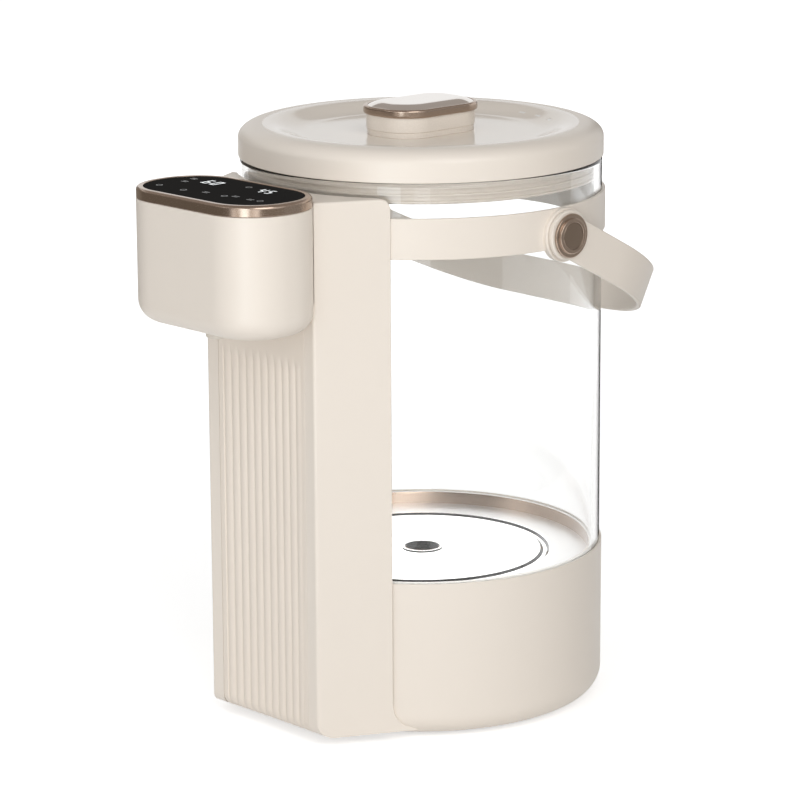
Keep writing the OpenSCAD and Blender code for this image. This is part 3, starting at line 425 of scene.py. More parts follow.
def make_finish(name, group, rgb, deep, smooth, rough, bump=0.0, reach=0.1, plain=(), extra=()):
    """A finish: a node group gives colour, roughness and height to a Principled shader, and
    plain values are set on the shader's own sockets. The group's second colour is the first
    one times deep, and the bump reaches so many millimetres."""
    mat, tree, shader = new_material(name)
    node = tree.nodes.new("ShaderNodeGroup")
    node.node_tree = group
    second = "Deep colour" if "Deep colour" in node.inputs else "Line and painted shade colour"
    set_inputs(node, {"Colour": tuple(rgb) + (1,), second: tuple(v * deep for v in rgb) + (1,),
                      "Smooth": smooth, "Rough": rough})
    set_inputs(node, extra)
    link_all(tree, [(node.outputs["Colour"], shader.inputs["Base Color"]),
                    (node.outputs["Roughness"], shader.inputs["Roughness"])])
    if bump:
        relief = tree.nodes.new("ShaderNodeBump")
        set_inputs(relief, {"Strength": bump, "Distance": reach * MM})
        link_all(tree, [(node.outputs["Height"], relief.inputs["Height"]),
                        (relief.outputs["Normal"], shader.inputs["Normal"])])
    set_inputs(shader, plain)
    FINISH[name] = mat


def make_glass(name, rgb, ior, shade):
    """Clear glass that lets the lamps' light through to what stands behind it, dimmed to the
    shade given."""
    mat, tree, shader = new_material(name)
    set_inputs(shader, {"Base Color": rgb + (1,), "Roughness": 0.0, "IOR": ior,
                        "Transmission Weight": 1.0})
    path, clear, mix = new_nodes(tree, "LightPath", "BsdfTransparent", "MixShader")
    set_inputs(clear, {"Color": shade + (1,)})
    link_all(tree, [(path.outputs["Is Shadow Ray"], mix.inputs["Fac"]),
                    (shader.outputs["BSDF"], mix.inputs[1]),
                    (clear.outputs["BSDF"], mix.inputs[2]),
                    (mix.outputs["Shader"], tree.nodes["Material Output"].inputs["Surface"])])
    FINISH[name] = mat


class POT_OT_finishes(bpy.types.Operator):
    """Make every finish of the pot"""
    bl_idname = "pot.finishes"
    bl_label = "Finishes"

    def execute(self, context):
        c = context.scene.pot_colours
        grain, brushed, pressed = grain_group(), brushed_group(), pressed_group()
        metal = {"Metallic": 1.0}
        make_finish("cream plastic", grain, c.cream, 0.985, 0.34, 0.44, 0.05, 0.05,
                    plain={"Specular IOR Level": 0.42})
        make_finish("glossy cream", grain, c.cream, 0.985, 0.24, 0.3)
        make_finish("lid plastic", pressed, c.cream, 1.0, 0.1, 0.36,
                    extra={"Groove radius": 0.0828})
        make_finish("fluted plastic", grain, c.flute, 0.98, 0.38, 0.48, 0.05, 0.05,
                    plain={"Specular IOR Level": 0.4})
        make_finish("pale plastic", grain, c.pale, 0.97, 0.4, 0.5, 0.05, 0.05)
        make_finish("grey plastic", grain, c.pale, 0.93, 0.42, 0.55, 0.08, 0.08)
        make_finish("dark plastic", grain, c.dark, 0.85, 0.35, 0.5, 0.12, 0.08)
        make_finish("rubber", grain, c.rubber, 0.85, 0.6, 0.75, 0.15)
        make_finish("silicone", grain, c.seal, 0.94, 0.3, 0.42, 0.03, 0.05)
        make_finish("white silicone", grain, c.white_seal, 0.98, 0.2, 0.3, 0.02, 0.05)
        make_finish("green board", grain, c.board, 0.8, 0.3, 0.5, 0.1, 0.08)
        make_finish("black glass", grain, c.black, 0.85, 0.06, 0.09,
                    plain={"Specular IOR Level": 0.0})
        make_finish("rose metal", brushed, c.rose, 0.93, 0.17, 0.27, 0.03, 0.02, metal,
                    {"Stretch": (90, 90, 3200)})
        make_finish("rose cap", brushed, c.bronze, 0.9, 0.2, 0.3, 0.03, 0.02, metal,
                    {"Stretch": (60, 2200, 60)})
        make_finish("mirror cap", brushed, c.mirror, 0.98, 0.06, 0.1, plain=metal,
                    extra={"Stretch": (30, 900, 30)})
        # painted reflection: the brown tint stands in for the warm surroundings mirrored in the pan
        # wall
        make_finish("steel with painted warm reflection", brushed, c.wall, 0.94, 0.16, 0.24, plain=metal,
                    extra={"Stretch": (40, 40, 2200)})
        make_finish("bright steel", brushed, c.steel, 0.9, 0.16, 0.3, 0.05, 0.02, metal,
                    {"Stretch": (1500, 1500, 60)})
        make_finish("brass", brushed, c.brass, 0.9, 0.2, 0.3, 0.05, 0.02, metal)
        # painted shade and reflection: the pan's groove walls and the strainer cup's wall take 8
        # per cent of the pan's colour
        make_finish("pan steel with painted slope shade", pressed, c.pan, 0.08, 0.07, 0.5, plain=metal)
        make_finish("cast aluminium", grain, c.steel, 0.8, 0.4, 0.55, 0.3, 0.2, metal)
        make_finish("display light", grain, c.light, 0.9, 0.3, 0.4,
                    plain={"Emission Strength": 0.55, "Emission Color": tuple(c.light) + (1,)})
        make_finish("printed mark", grain, [v * 0.3 for v in c.light], 0.9, 0.3, 0.4)
        make_glass("clear glass", (0.995, 0.998, 0.996), 1.47, (0.95, 0.95, 0.948))
        return {"FINISHED"}


# ---------------------------------------------------------------- base and tank

# height and depth of the handle's pivots: y, z
PIVOT = (7.5, 259.5)


class POT_OT_base(bpy.types.Operator):
    """Base shell with its rounded foot, thin rim, glass seat and inlet window"""
    bl_idname = "pot.base"
    bl_label = "Base"

    def execute(self, context):
        s = context.scene.pot_sizes
        # both sides of the wall, the glass's bore and seat, the ledge under it, both sides of
        # the bottom, the cover's rebate, and the window for the mains inlet
        r, top, inner = s.base_r, s.base_top, s.base_r - 3.2
        bore, seat = s.glass_r + 0.15, s.base_top - 7.9
        ledge, ledge_t = 85, 3
        under, ceiling = 1.2, 4.4
        cover_r, hole_r, cover_z = 72, 62, 2.8
        win_half, win_lo, win_hi = 15.6, 40 - 12.1, 40 + 12.1
        line = rounded_line(
            [(cover_r, under), (r, under), (r, win_lo), (r, win_hi), (r, top), (bore, top),
             (bore, seat), (ledge, seat), (ledge, seat - ledge_t), (inner, seat - ledge_t),
             (inner, win_hi), (inner, win_lo), (inner, ceiling), (hole_r, ceiling),
             (hole_r, cover_z), (cover_r, cover_z)],
            [0.4, s.base_round, 0, 0, 0.5, 0.35, 0.3, 0.3, 0.3, 1, 0, 0,
             s.base_round - (r - inner), 0.3, 0.3, 0.3], closed=True, steps=14)
        half = math.degrees(math.asin(win_half / r))
        around = np.linspace(90 + half, 450 - half, 180)
        across = np.linspace(90 - half, 90 + half, 12)
        grid = lathe(line, np.append(around, across[1:]))
        m = cell_middles(grid)
        window = (abs(m[..., 0]) < win_half) & (m[..., 1] > 0) & (m[..., 2] > win_lo) \
            & (m[..., 2] < win_hi) & (np.hypot(m[..., 0], m[..., 1]) > inner - 0.5)
        cols = np.append(around[-1], across[1:])
        jambs = [lathe(np.array([[r, z], [inner, z]]), cols) for z in (win_lo, win_hi)]
        for a in (math.radians(90 - half), math.radians(90 + half)):
            jambs.append(np.array([[[q * math.cos(a), q * math.sin(a), z]
                                    for z in (win_lo, win_hi)] for q in (r, inner)]))
        piece("base_bowl", [(grid, ~window)] + jambs, "cream plastic", nodes=("base_shell",))
        # a foot's radius, and the circle that the four feet stand on
        foot_r, circle = 8, hole_r - 9.0
        foot = lathe(rounded_line([(0, 0), (foot_r, 0), (foot_r, under), (0, under)],
                                  [0, 0.4, 0.2, 0]), turn(48))
        feet = [foot + np.array([circle * math.cos(a), circle * math.sin(a), 0])
                for a in np.radians((45, 135, 225, 315))]
        piece("feet", feet, "rubber", nodes=("rubber_feet",))
        smoothed("bottom_cover", "cover_plate", "grey plastic")
        smoothed("cover_screws", "cover_screw_set", "bright steel")
        return {"FINISHED"}


class POT_OT_pan(bpy.types.Operator):
    """Polished pan with its pressed groove, and the strainer and probe in it"""
    bl_idname = "pot.pan"
    bl_label = "Heating pan"

    def execute(self, context):
        top = context.scene.pot_sizes.base_top - 6.7
        # hole for the strainer, outer edge and underside; the groove is a millimetre deep
        hole, edge, under = 9.86, 95, top - 1.2
        line = rounded_line(
            [(hole, top), (63.5, top), (65.2, top - 1.0), (66.8, top - 1.0), (68.5, top),
             (edge, top), (edge, under), (hole, under)],
            [0.2, 0.3, 0.8, 0.8, 0.3, 0.2, 0.2, 0.2], closed=True)
        # the pan steel paints the groove's sloping walls dark as shade and reflection
        piece("pan_floor", [lathe(line)], "pan steel with painted slope shade", nodes=("steel_pan",),
              sharp=50)
        inner, outer, z0, z1 = 89.75, 90.95, low("pan_seal")[2], high("pan_seal")[2]
        line = rounded_line([(inner, z0), (edge, z0), (edge, z0 + 1.2), (outer, z0 + 1.2),
                             (outer, z1), (inner, z1)], [0.2, 0.1, 0.1, 0.1, 0.35, 0.35],
                            closed=True)
        piece("tank_seal", [lathe(line)], "white silicone", nodes=("pan_seal",))
        line = rounded_line([(inner - 0.4, top - 0.3), (inner - 0.05, top - 0.3),
                             (inner - 0.05, z1 - 0.3), (inner - 0.4, z1 - 0.3)],
                            [0.1, 0.1, 0.15, 0.15], closed=True)
        # the pan wall's brown steel is a painted reflection
        piece("pan_wall", [lathe(line)], "steel with painted warm reflection")
        # the strainer cup's sloping wall gets the pan steel's painted shade and reflection
        smoothed("intake_strainer", "strainer_cup", "pan steel with painted slope shade")
        smoothed("temperature_probe", "probe_tip", "bright steel")
        return {"FINISHED"}


class POT_OT_glass(bpy.types.Operator):
    """Clear tank wall with a fire-polished rim"""
    bl_idname = "pot.glass"
    bl_label = "Glass tank"

    def execute(self, context):
        s = context.scene.pot_sizes
        ro, ri = s.glass_r, s.glass_r - s.glass_wall
        line = rounded_line([(ri, s.glass_low), (ro, s.glass_low), (ro, s.glass_top),
                             (ri, s.glass_top)], [0.4, 0.4, 1.7, 1.7], closed=True, steps=10)
        piece("tank_wall", [lathe(line, turn(288))], "clear glass", nodes=("glass_tube",),
              sharp=60)
        return {"FINISHED"}


class POT_OT_collar(bpy.types.Operator):
    """Collar band round the glass with its two pivot pads"""
    bl_idname = "pot.collar"
    bl_label = "Collar"

    def execute(self, context):
        s = context.scene.pot_sizes
        face, _, top = high("collar_band")
        ri, ro, foot = s.glass_r + 0.15, s.glass_r + 1.7, top - 21
        line = rounded_line([(ri, foot), (ro, foot), (ro, top), (ri, top)],
                            [0.1, 0.5, 0.5, 0.1], closed=True)
        sheets = [lathe(line, turn(288))]
        # a pad: its rounded face, one millimetre deep, its side down to the root inside the
        # band, and its back there
        pad, root_r, y, z = 14.0, 95.5, PIVOT[0], top - 14.0
        t = np.radians(turn(96))[:, None]
        rim, rise = rounded_line([(pad, 0), (pad, 1), (0, 1)], [0, 0.6, 0], steps=5).T
        py, pz = y + rim * np.cos(t), z + rim * np.sin(t)
        px = face - 1 + rise + 0 * py
        px[:, 0] = np.sqrt(root_r ** 2 - py[:, 0] ** 2)
        disc = pad * np.linspace(1, 0, 6)
        by, bz = y + disc * np.cos(t), z + disc * np.sin(t)
        bx = np.sqrt(root_r ** 2 - by ** 2)
        for side in (-1, 1):
            sheets += [np.stack([side * px, py, pz], -1), np.stack([side * bx, by, bz], -1)]
        piece("collar_ring", sheets, "cream plastic", nodes=("collar_band",))
        return {"FINISHED"}


# ---------------------------------------------------------------- tower

# outer rear corner of a wing: x, and y behind zero; and the rounding of its top there
REAR, REAR_ROUND = np.array([59.6, 77.8]), 4.4
# radius of the tower's hollow back
BORE = 97.0
# recess for the fluted panel: half width, depth and top
RECESS, SUNK, RECESS_TOP = 33.6, 3.1, 226
# head in plan: half width, half depth and middle; its underside, and the pocket's clearance
HEAD_HALF, HEAD_AT, HEAD_LOW, CLEAR = (51.25, 28.75), (0.0, -135.75), 219, 0.3


def half_width(s, y):
    """Half width of the tower's outline at depth y: the side runs straight from the front
    corner to the wing's rear corner."""
    return s.front_half + (y + s.front) * (REAR[0] - s.front_half) / (s.front - REAR[1])


def hollow_front(s, x):
    """Depth of the front face: a shallow arc through both corners, s.hollow deep."""
    big = (s.front_half ** 2 + s.hollow ** 2) / (2 * s.hollow)
    drop = big - np.sqrt(big ** 2 - np.minimum(abs(x), s.front_half) ** 2)
    return -s.front + s.hollow - drop


def behind_head(s, x, z, clear):
    """Depth of the head's back, grown by a clearance: a rounded rectangle that is drawn in
    by the rounded lower edge. Beside and below the head it lies far in front."""
    w, d = HEAD_HALF[0] + clear, HEAD_HALF[1] + clear
    r, rr, z0 = s.head_corner + clear, s.head_round + clear, HEAD_LOW - clear
    h = np.clip(z - z0, 0, rr)
    o = rr - np.sqrt(np.maximum(rr ** 2 - (rr - h) ** 2, 0))
    over = np.maximum(abs(x) - (w - r), 0)
    room = (r - o) ** 2 - over ** 2
    back = HEAD_AT[1] + d - o - ((r - o) - np.sqrt(np.maximum(room, 0)))
    return np.where((room > 0) & (z > z0), back, -1e3)


class POT_OT_tower(bpy.types.Operator):
    """Tower housing: hollow front, flared sides, curled foot, head pocket and toes"""
    bl_idname = "pot.tower"
    bl_label = "Tower"

    def execute(self, context):
        s = context.scene.pot_sizes
        foot, top, c = low("tower_housing")[2], high("tower_housing")[2], s.curl
        out, bore, deep = self.outline(s)
        # heights of the rows: curl, straight, pocket and rounded top edge; then for each row
        # how far forward the curl lets the outline reach, the same in the recess, and how far
        # the rounded top edge pulls it in
        bend, fillet, edge_r = quarter(12), quarter(5), 1.2
        zs = np.concatenate([np.linspace(foot + c + 0.5, 215, 24), np.linspace(217, 236, 20),
                             np.linspace(238, top - 1.6, 14)])
        in_curl = np.arange(len(bend) + len(zs) + len(fillet)) < len(bend)
        fore = np.full(len(zs) + len(fillet), -s.front)
        z_row = np.concatenate([foot + c * (1 - np.cos(bend)), zs,
                                top - edge_r + edge_r * np.sin(fillet)])
        y_cut = np.append(-s.front + c * (1 - np.sin(bend)), fore)
        y_in = np.append(-s.front + c - (c - SUNK) * np.sin(bend), fore)
        z_in = np.append(foot + c - (c - SUNK) * np.cos(bend), z_row[~in_curl])
        pull = np.append(np.zeros(len(bend) + len(zs)), edge_r * (1 - np.cos(fillet)))
        # every point of the outline at every row
        x0, y0, deep = out[:, :1], out[:, 1:], deep[:, None]
        y = np.where(y0 < y_cut, y_cut, y0)
        x = np.where(y0 < y_cut, x0 * (half_width(s, y_cut) / s.front_half), x0)
        x = np.clip(x, -half_width(s, y), half_width(s, y))
        step = np.where(deep & (z_row < RECESS_TOP), SUNK, 0.0)
        y = np.where(deep & in_curl, np.maximum(y_in, y0 + SUNK), np.maximum(y, y0 + step))
        z = np.where(deep, z_in, z_row) + 0 * x
        front = np.abs(x0) < s.front_half + 0.2
        y = np.where(front, np.maximum(y, behind_head(s, x, z, CLEAR)), y)
        # the rounded rear corners of the wings lower the top there, less and less further down
        near = np.clip(-REAR[1] - y0, 0, REAR_ROUND)
        drop = REAR_ROUND - np.sqrt(np.maximum(REAR_ROUND ** 2 - (REAR_ROUND - near) ** 2, 0))
        reach = 12
        z = z - drop * np.clip((z - top + reach) / reach, 0, 1)
        nx, ny = np.gradient(out[:, 1])[:, None], -np.gradient(out[:, 0])[:, None]
        size = np.hypot(nx, ny) + 1e-9
        pocket = front & (y > -s.front + 3)
        x = x - pull * nx / size * np.where(pocket, 0, 1)
        y = y - pull * np.where(pocket, -1, ny / size)
        grid = np.stack([x, y, z], -1)
        grid[[0, -1], :, :2] = bore[[0, -1], None]
        # inner wall and both ends of each section
        low_out = grid[:, 0].copy()
        low_out[:, 2] = foot
        low_out[:, 1] = np.where(deep[:, 0], low_out[:, 1] + 0.2, low_out[:, 1])
        rise = (grid[0, :, 2] - foot) / (grid[0, -1, 2] - foot)
        z_bore = foot + (grid[:, -1:, 2] - foot) * rise
        inner = np.stack([bore[:, :1] + 0 * z_bore, bore[:, 1:] + 0 * z_bore, z_bore], -1)
        sheets = [grid, between(low_out, grid[:, 0]), between(inner[:, 0], low_out, 6),
                  between(grid[:, -1], inner[:, -1], 6), inner[:, ::-1]]
        piece("tower_shell", sheets + self.toes(s, foot), "cream plastic",
              nodes=("tower_housing",), sharp=38)
        return {"FINISHED"}

    def outline(self, s):
        """Outline in plan from the end of one wing round the front to the other's, the points
        of the bore behind it, and a mask of the points in the recess."""
        corner = rounded_line([(30, -s.front), (s.front_half, -s.front), (REAR[0], -REAR[1])],
                              [0, 2.0, 0], steps=8)[1:-1]
        xs = np.concatenate([np.linspace(0, RECESS, 30), [RECESS],
                             np.linspace(RECESS, corner[0, 0], 6)[1:-1]])
        bend_y = -s.front + s.curl + 0.5
        ys = np.concatenate([np.linspace(corner[-1, 1], bend_y, 8)[1:],
                             np.linspace(bend_y, -REAR[1] - REAR_ROUND - 0.2, 14)[1:],
                             -REAR[1] - REAR_ROUND * (1 - np.sin(quarter(8)))])
        end = np.array([0.608, -0.7938])
        end *= BORE / np.linalg.norm(end)
        half = np.vstack([np.column_stack([xs, hollow_front(s, xs)]), corner,
                          np.column_stack([half_width(s, ys), ys])])
        half = np.vstack([half, half[-1] * 0.5 + end * 0.5, end])
        deep = np.arange(len(half)) < 30
        a = np.linspace(0, math.atan2(end[0], -end[1]), len(half) - 2)
        bore = np.vstack([BORE * np.column_stack([np.sin(a), -np.cos(a)]), end, end])
        return (np.vstack([half[::-1] * [-1, 1], half]), np.vstack([bore[::-1] * [-1, 1], bore]),
                np.append(deep[::-1], deep))

    def toes(self, s, foot):
        """Each wing's toe: the side plate carried on under the bowl, with a concave top edge
        of one radius and the bowl's own outline as its inner face."""
        # length of the toe and height of its tip; radius, rounding and height of the bowl
        length, tip = 13.0, 1.5
        bowl_r, bowl_round, bowl_z = 96.5, 20, 21.2
        run = np.array([REAR[0] - s.front_half, s.front - REAR[1]])
        run /= np.linalg.norm(run)
        u = np.linspace(0, 1, 15)[:, None]
        x, y = REAR[0] - 0.02 + run[0] * (length * u), -REAR[1] + run[1] * (length * u)
        rise = tip + length * (1 - np.sin(np.arccos(1 - u)))
        z = foot + rise * np.linspace(0, 1, 9)
        # the bowl's radius at each height, grown by a small gap, as a share of the plate's
        h = np.clip(bowl_z - z, 0, bowl_round)
        bowl = bowl_r - bowl_round + np.sqrt(bowl_round ** 2 - h ** 2)
        k = np.minimum(bowl / np.hypot(x, y), 0.985)
        sheets = []
        for side in (-1, 1):
            outer = np.stack([side * x + 0 * z, y + 0 * z, z], -1)
            inner = outer * np.stack([k, k, np.ones_like(k)], -1)
            sheets += [outer, inner] + rim_strips(outer, inner)
        return sheets


class POT_OT_flutes(bpy.types.Operator):
    """Fluted panel: round ribs on the hollow front, fading out below the head"""
    bl_idname = "pot.flutes"
    bl_label = "Fluted panel"

    def execute(self, context):
        s = context.scene.pot_sizes
        # the panel's thickness and half width, its edges' rounding, and the ribs' bulge
        foot, c, thick, w = low("fluted_panel")[2], s.curl, 2.9, RECESS - 0.15
        lip, bulge = 0.35, 0.62
        n, pitch = s.rib_count, s.rib_pitch
        span = n * pitch / 2
        xs = np.unique(np.round(np.concatenate([
            np.linspace(-w, -span, 6), np.linspace(-span, span, n * 12 + 1),
            np.linspace(span, w, 6), [-w + 0.12, w - 0.12, -w + lip, w - lip]]), 5))
        # each rib is a flattened arc across its pitch, and the panel's side edges are rounded
        phase = (xs + span) / pitch
        u = 2 * (phase - np.floor(np.minimum(phase, n - 1e-6))) - 1
        lobe = np.where(abs(xs) < span - 1e-6,
                        1 - np.sqrt(np.maximum(1 - bulge * u ** 2, 0)), 0)
        lobe = (lobe / (1 - math.sqrt(1 - bulge)) * s.rib_depth)[:, None]
        x = xs[:, None]
        edge = np.maximum(abs(x) - (w - lip), 0) / lip
        soft = lip * (1 - np.sqrt(np.maximum(1 - edge ** 2, 0)))
        bend = quarter(14)
        zs = np.concatenate([np.linspace(foot + c + 0.5, 190, 22), np.linspace(191, 207, 17),
                             np.linspace(208, RECESS_TOP - 1, 12)])
        fade = np.clip((203 - zs) / 8, 0, 1)
        fade = fade * fade * (3 - 2 * fade)
        fore = hollow_front(s, xs)[:, None]

        def wall(depth, ribs):
            """Front or back of the panel at a depth behind the face, curled at its foot."""
            k = c - depth
            rib = lobe * np.sin(bend) * ribs + soft * ribs
            y_c = -s.front + c - k * np.sin(bend) + (fore + s.front) * np.sin(bend) ** 2 + rib
            z_c = foot + c - k * np.cos(bend) + rib * np.cos(bend) * 0.5
            z_s = zs + 0 * x
            y_s = fore + depth + lobe * fade * ribs + soft * ribs
            y_s = np.maximum(y_s, behind_head(s, x + 0 * z_s, z_s, CLEAR + depth))
            y, z = np.concatenate([y_c, y_s], 1), np.concatenate([z_c, z_s], 1)
            return np.stack([x + 0 * y, y, z], -1)

        face, back = wall(0.0, 1.0), wall(thick, 0.0)
        piece("flute_panel", [face, back] + rim_strips(face, back), "fluted plastic",
              nodes=("fluted_panel",), sharp=50)
        return {"FINISHED"}


# ---------------------------------------------------------------- head

# bars of each seven-segment digit
DIGITS = {"0": "abcdef", "1": "bc", "2": "abged", "3": "abgcd", "4": "fgbc", "5": "afgcd",
          "6": "afgedc", "7": "abc", "8": "abcdefg", "9": "abcdfg"}
# places of the printed marks on the touch glass, rings and double bars by turns
MARKS = ((-34.6, -148.4), (-33.6, -132.6), (-15.2, -148.9), (-1.8, -145.5), (12.4, -145.6),
         (17.6, -142.6), (2.5, -121.0), (29.4, -143.3), (35.6, -142.4), (-36.0, -124.6))
# the lit readings: text, lower left corner and height of a digit
READINGS = (("60", -25.8, -129.4, 8.4), ("45", 12.6, -126.8, 8.0))


def segment_boxes(text, x, y, h):
    """Seven-segment digits as boxes (x0, y0, x1, y1) from the lower left corner at x, y."""
    w, t, gap = 0.5 * h, 0.13 * h, 0.06
    m = h / 2
    bars = {"a": (t, h - t, w - t, h), "g": (t, m - t / 2, w - t, m + t / 2),
            "d": (t, 0, w - t, t), "f": (0, m, t, h), "b": (w - t, m, w, h),
            "e": (0, 0, t, m), "c": (w - t, 0, w, m)}
    boxes = []
    for i, digit in enumerate(text):
        for key in DIGITS[digit]:
            b = np.array(bars[key]) + [gap, gap, -gap, -gap]
            boxes.append(b + np.array([x + i * (w + 0.28 * h), y] * 2))
    return boxes


def plate(box, z, t):
    """Thin closed plate with slightly rounded plan over a box, as a pod."""
    w, d = box[2] - box[0], box[3] - box[1]
    rows = pod_rows([(0, z), (0, z + t)], rings=1)
    return pod(w, d, min(w, d) * 0.3, rows, at=((box[0] + box[2]) / 2, (box[1] + box[3]) / 2),
               corner=3, side=1)


def washer(x, y, r, t, z, h):
    """Thin ring mark of radius r and line width t at x, y."""
    line = np.array([(r - t / 2, z), (r + t / 2, z), (r + t / 2, z + h), (r - t / 2, z + h),
                     (r - t / 2, z)])
    return lathe(line, turn(24)) + np.array([x, y, 0])


class POT_OT_head(bpy.types.Operator):
    """Head: rounded housing, rose trim, black touch glass and its lit display"""
    bl_idname = "pot.head"
    bl_label = "Head"

    def execute(self, context):
        s = context.scene.pot_sizes
        foot, seam, (w, _, top) = low("head_housing")[2], low("head_trim")[2], high("head_trim")
        w, d, r, q = w * 2, HEAD_HALF[1] * 2, s.head_corner, s.trim_w

        def head_pod(name, rows, finish, node):
            """Piece of the head, round its plan."""
            piece(name, [pod(w, d, r, rows, HEAD_AT, 24, 12)], finish, nodes=(node,))

        line = rounded_line([(r - 4, foot), (0, foot), (0, seam - 0.1), (r - 4, seam - 0.1)],
                            [0, s.head_round, 0.4, 0], steps=16)
        head_pod("head_shell", pod_rows(line), "cream plastic", "head_housing")
        ledge = top - 1.6
        line = rounded_line([(0.05, seam + 0.05), (0.05, top), (q, top), (q, ledge),
                             (q + 4, ledge), (q + 4, seam + 0.05)],
                            [0.3, 2.1, 0.35, 0, 0, 0], closed=True)
        head_pod("trim_rim", np.column_stack([line, np.ones(len(line))]), "rose metal",
                 "head_trim")
        g, face = q + 0.12, top - 0.15
        line = rounded_line([(g + 8, ledge + 0.05), (g, ledge + 0.05), (g, face), (g + 8, face)],
                            [0, 0.1, 0.4, 0])
        head_pod("touch_pane", pod_rows(line), "black glass", "touch_glass")
        z, h = face - 0.02, 0.06
        lit = [plate(b, z, h) for reading in READINGS for b in segment_boxes(*reading)]
        piece("display_digits", lit, "display light", sharp=40)
        marks = [washer(x, y, 1.5, 0.5, z, h) for x, y in MARKS[::2]]
        marks += [plate((x - 2, y + v, x + 2, y + v + 0.7), z, h)
                  for x, y in MARKS[1::2] for v in (-1.2, 0.5)]
        piece("touch_marks", marks, "printed mark", sharp=40)
        tip, y = low("spout_nozzle")[2], (low("spout_nozzle")[1] + high("spout_nozzle")[1]) / 2
        line = rounded_line([(3.9, tip), (6, tip), (6, tip + 8), (3.9, tip + 8)],
                            [0.4, 0.8, 0, 0], closed=True)
        nozzle = lathe(line, turn(72)) + np.array([0, y, 0])
        piece("nozzle", [nozzle], "pale plastic", nodes=("spout_nozzle",))
        return {"FINISHED"}


# ---------------------------------------------------------------- handle

class POT_OT_handle(bpy.types.Operator):
    """Bail strap with its round ears, stepped boss rings and caps"""
    bl_idname = "pot.handle"
    bl_label = "Handle"

    def execute(self, context):
        s = context.scene.pot_sizes
        # the grip's distance from the pivots, the bend's and the ears' radius, the rest angle,
        # and half the strap's thickness and width
        reach, bend, ear_r, sag = 109.0, 68.0, 13.0, math.radians(-28)
        th, half = s.strap_t / 2, s.strap_w / 2
        mid = 99.2 + th
        # path in the strap's own plane: ear, straight leg, quarter bend, half the grip
        leg = np.concatenate([-ear_r * np.cos(quarter(13)), np.linspace(0, 12, 10)[1:],
                              np.linspace(12, reach - bend, 8)[1:]])
        a = quarter(27)[1:]
        path = np.vstack([np.column_stack([np.full(len(leg), mid), leg]),
                          np.column_stack([mid - bend + bend * np.cos(a),
                                           reach - bend + bend * np.sin(a)]),
                          np.column_stack([np.linspace(mid - bend, 0, 6)[1:],
                                           np.full(5, reach)])])
        path = np.vstack([path, path[-2::-1] * [-1, 1]])
        along = np.gradient(path, axis=0)
        along /= np.linalg.norm(along, axis=1)[:, None]
        out = np.column_stack([along[:, 1], -along[:, 0]])
        # half width: the ear's circle behind the pivot, and no less than the strap's beyond it
        ear = np.sqrt(np.maximum(ear_r ** 2 - path[:, 1] ** 2, 0))
        wide = np.where(path[:, 1] > 0, np.maximum(half, ear), ear)[:, None]
        across, up = rounded_line([(-th, -half), (th, -half), (th, half), (-th, half)],
                                  [0.9] * 4, closed=True, steps=4).T
        lift = np.where(up > 0, np.maximum(up + (wide - half), 0),
                        np.minimum(up - (wide - half), 0))
        x, y = path[:, :1] + out[:, :1] * across, path[:, 1:] + out[:, 1:] * across
        grid = np.stack([x, PIVOT[0] + y * math.cos(sag) - lift * math.sin(sag),
                         PIVOT[1] + y * math.sin(sag) + lift * math.cos(sag)], -1)
        piece("strap", [grid], "cream plastic", body="handle", nodes=("bail_handle",),
              sharp=50)
        x0 = low("boss_ring_right")[0]
        ring = rounded_line([(3.1, x0), (11.4, x0), (11.4, x0 + 1.3), (9.2, x0 + 1.3),
                             (9.2, x0 + 2.4), (7.1, x0 + 2.4), (7.1, x0 + 1.2), (3.1, x0 + 1.2)],
                            [0.1, 0.2, 0.5, 0.15, 0.5, 0.25, 0, 0], closed=True, steps=5)
        cap = rounded_line([(0, x0 + 1.25), (7.0, x0 + 1.25), (7.0, x0 + 2.2),
                            (5.6, x0 + 2.25), (0, x0 + 2.55)], [0, 0, 0.3, 1.5, 0])
        for side, word in ((-1, "left"), (1, "right")):
            step, button = (sideways(lathe(line, turn(96)), side, *PIVOT) for line in (ring, cap))
            piece("boss_step_" + word, [step], "rose metal", nodes=("boss_ring_" + word,))
            piece("boss_button_" + word, [button], "rose cap", nodes=("boss_cap_" + word,))
        return {"FINISHED"}


# ---------------------------------------------------------------- lid

# the lid's outer radius and the height of its skirt's middle
LID_R, SKIRT = 95.7, 298
# radius where the lid's slope starts, and the slope's run down to the dish
CREST, FALL = 81.5, 20.5
# the steam slots: outer, inner and middle radius, half length and the angles of their middles
SLOT_OUT, SLOT_IN, SLOT_MID, SLOT_HALF, SLOTS = 71.9, 70.1, 71, 2.5, (63.5, 75, 86.5)
# the lid's wall
LID_T = 2.4


def slope_height(radius):
    """Height of the lid's slope at a radius: half a cosine wave from the crest to the dish."""
    dish, top = low("knob_body")[2], high("lid_shell")[2]
    return dish + (top - dish) * (1 + np.cos(np.pi * (CREST - radius) / FALL)) / 2


def dish_line(shift):
    """Outline of the lid (r, z) drawn in by a shift: straight side, elliptic edge, flat crest,
    a cosine slope down to the dish and its flat floor."""
    dish, top, wide, tall = low("knob_body")[2], high("lid_shell")[2], 11, 7.1
    t = quarter(18)
    edge = np.column_stack([LID_R - wide + (wide - shift) * np.cos(t),
                            top - tall + (tall - shift) * np.sin(t)])
    run = CREST - FALL * np.append(np.linspace(0, (CREST - SLOT_OUT) / FALL, 12),
                                   np.linspace((CREST - SLOT_IN) / FALL, 1, 12))
    slope = np.column_stack([run, slope_height(run) - shift])
    floor = np.column_stack([np.linspace(CREST - FALL - 2, 0, 8), np.full(8, dish - shift)])
    return np.vstack([[(LID_R - shift, SKIRT)], edge, [(CREST + 1.5, top - shift)], slope, floor])


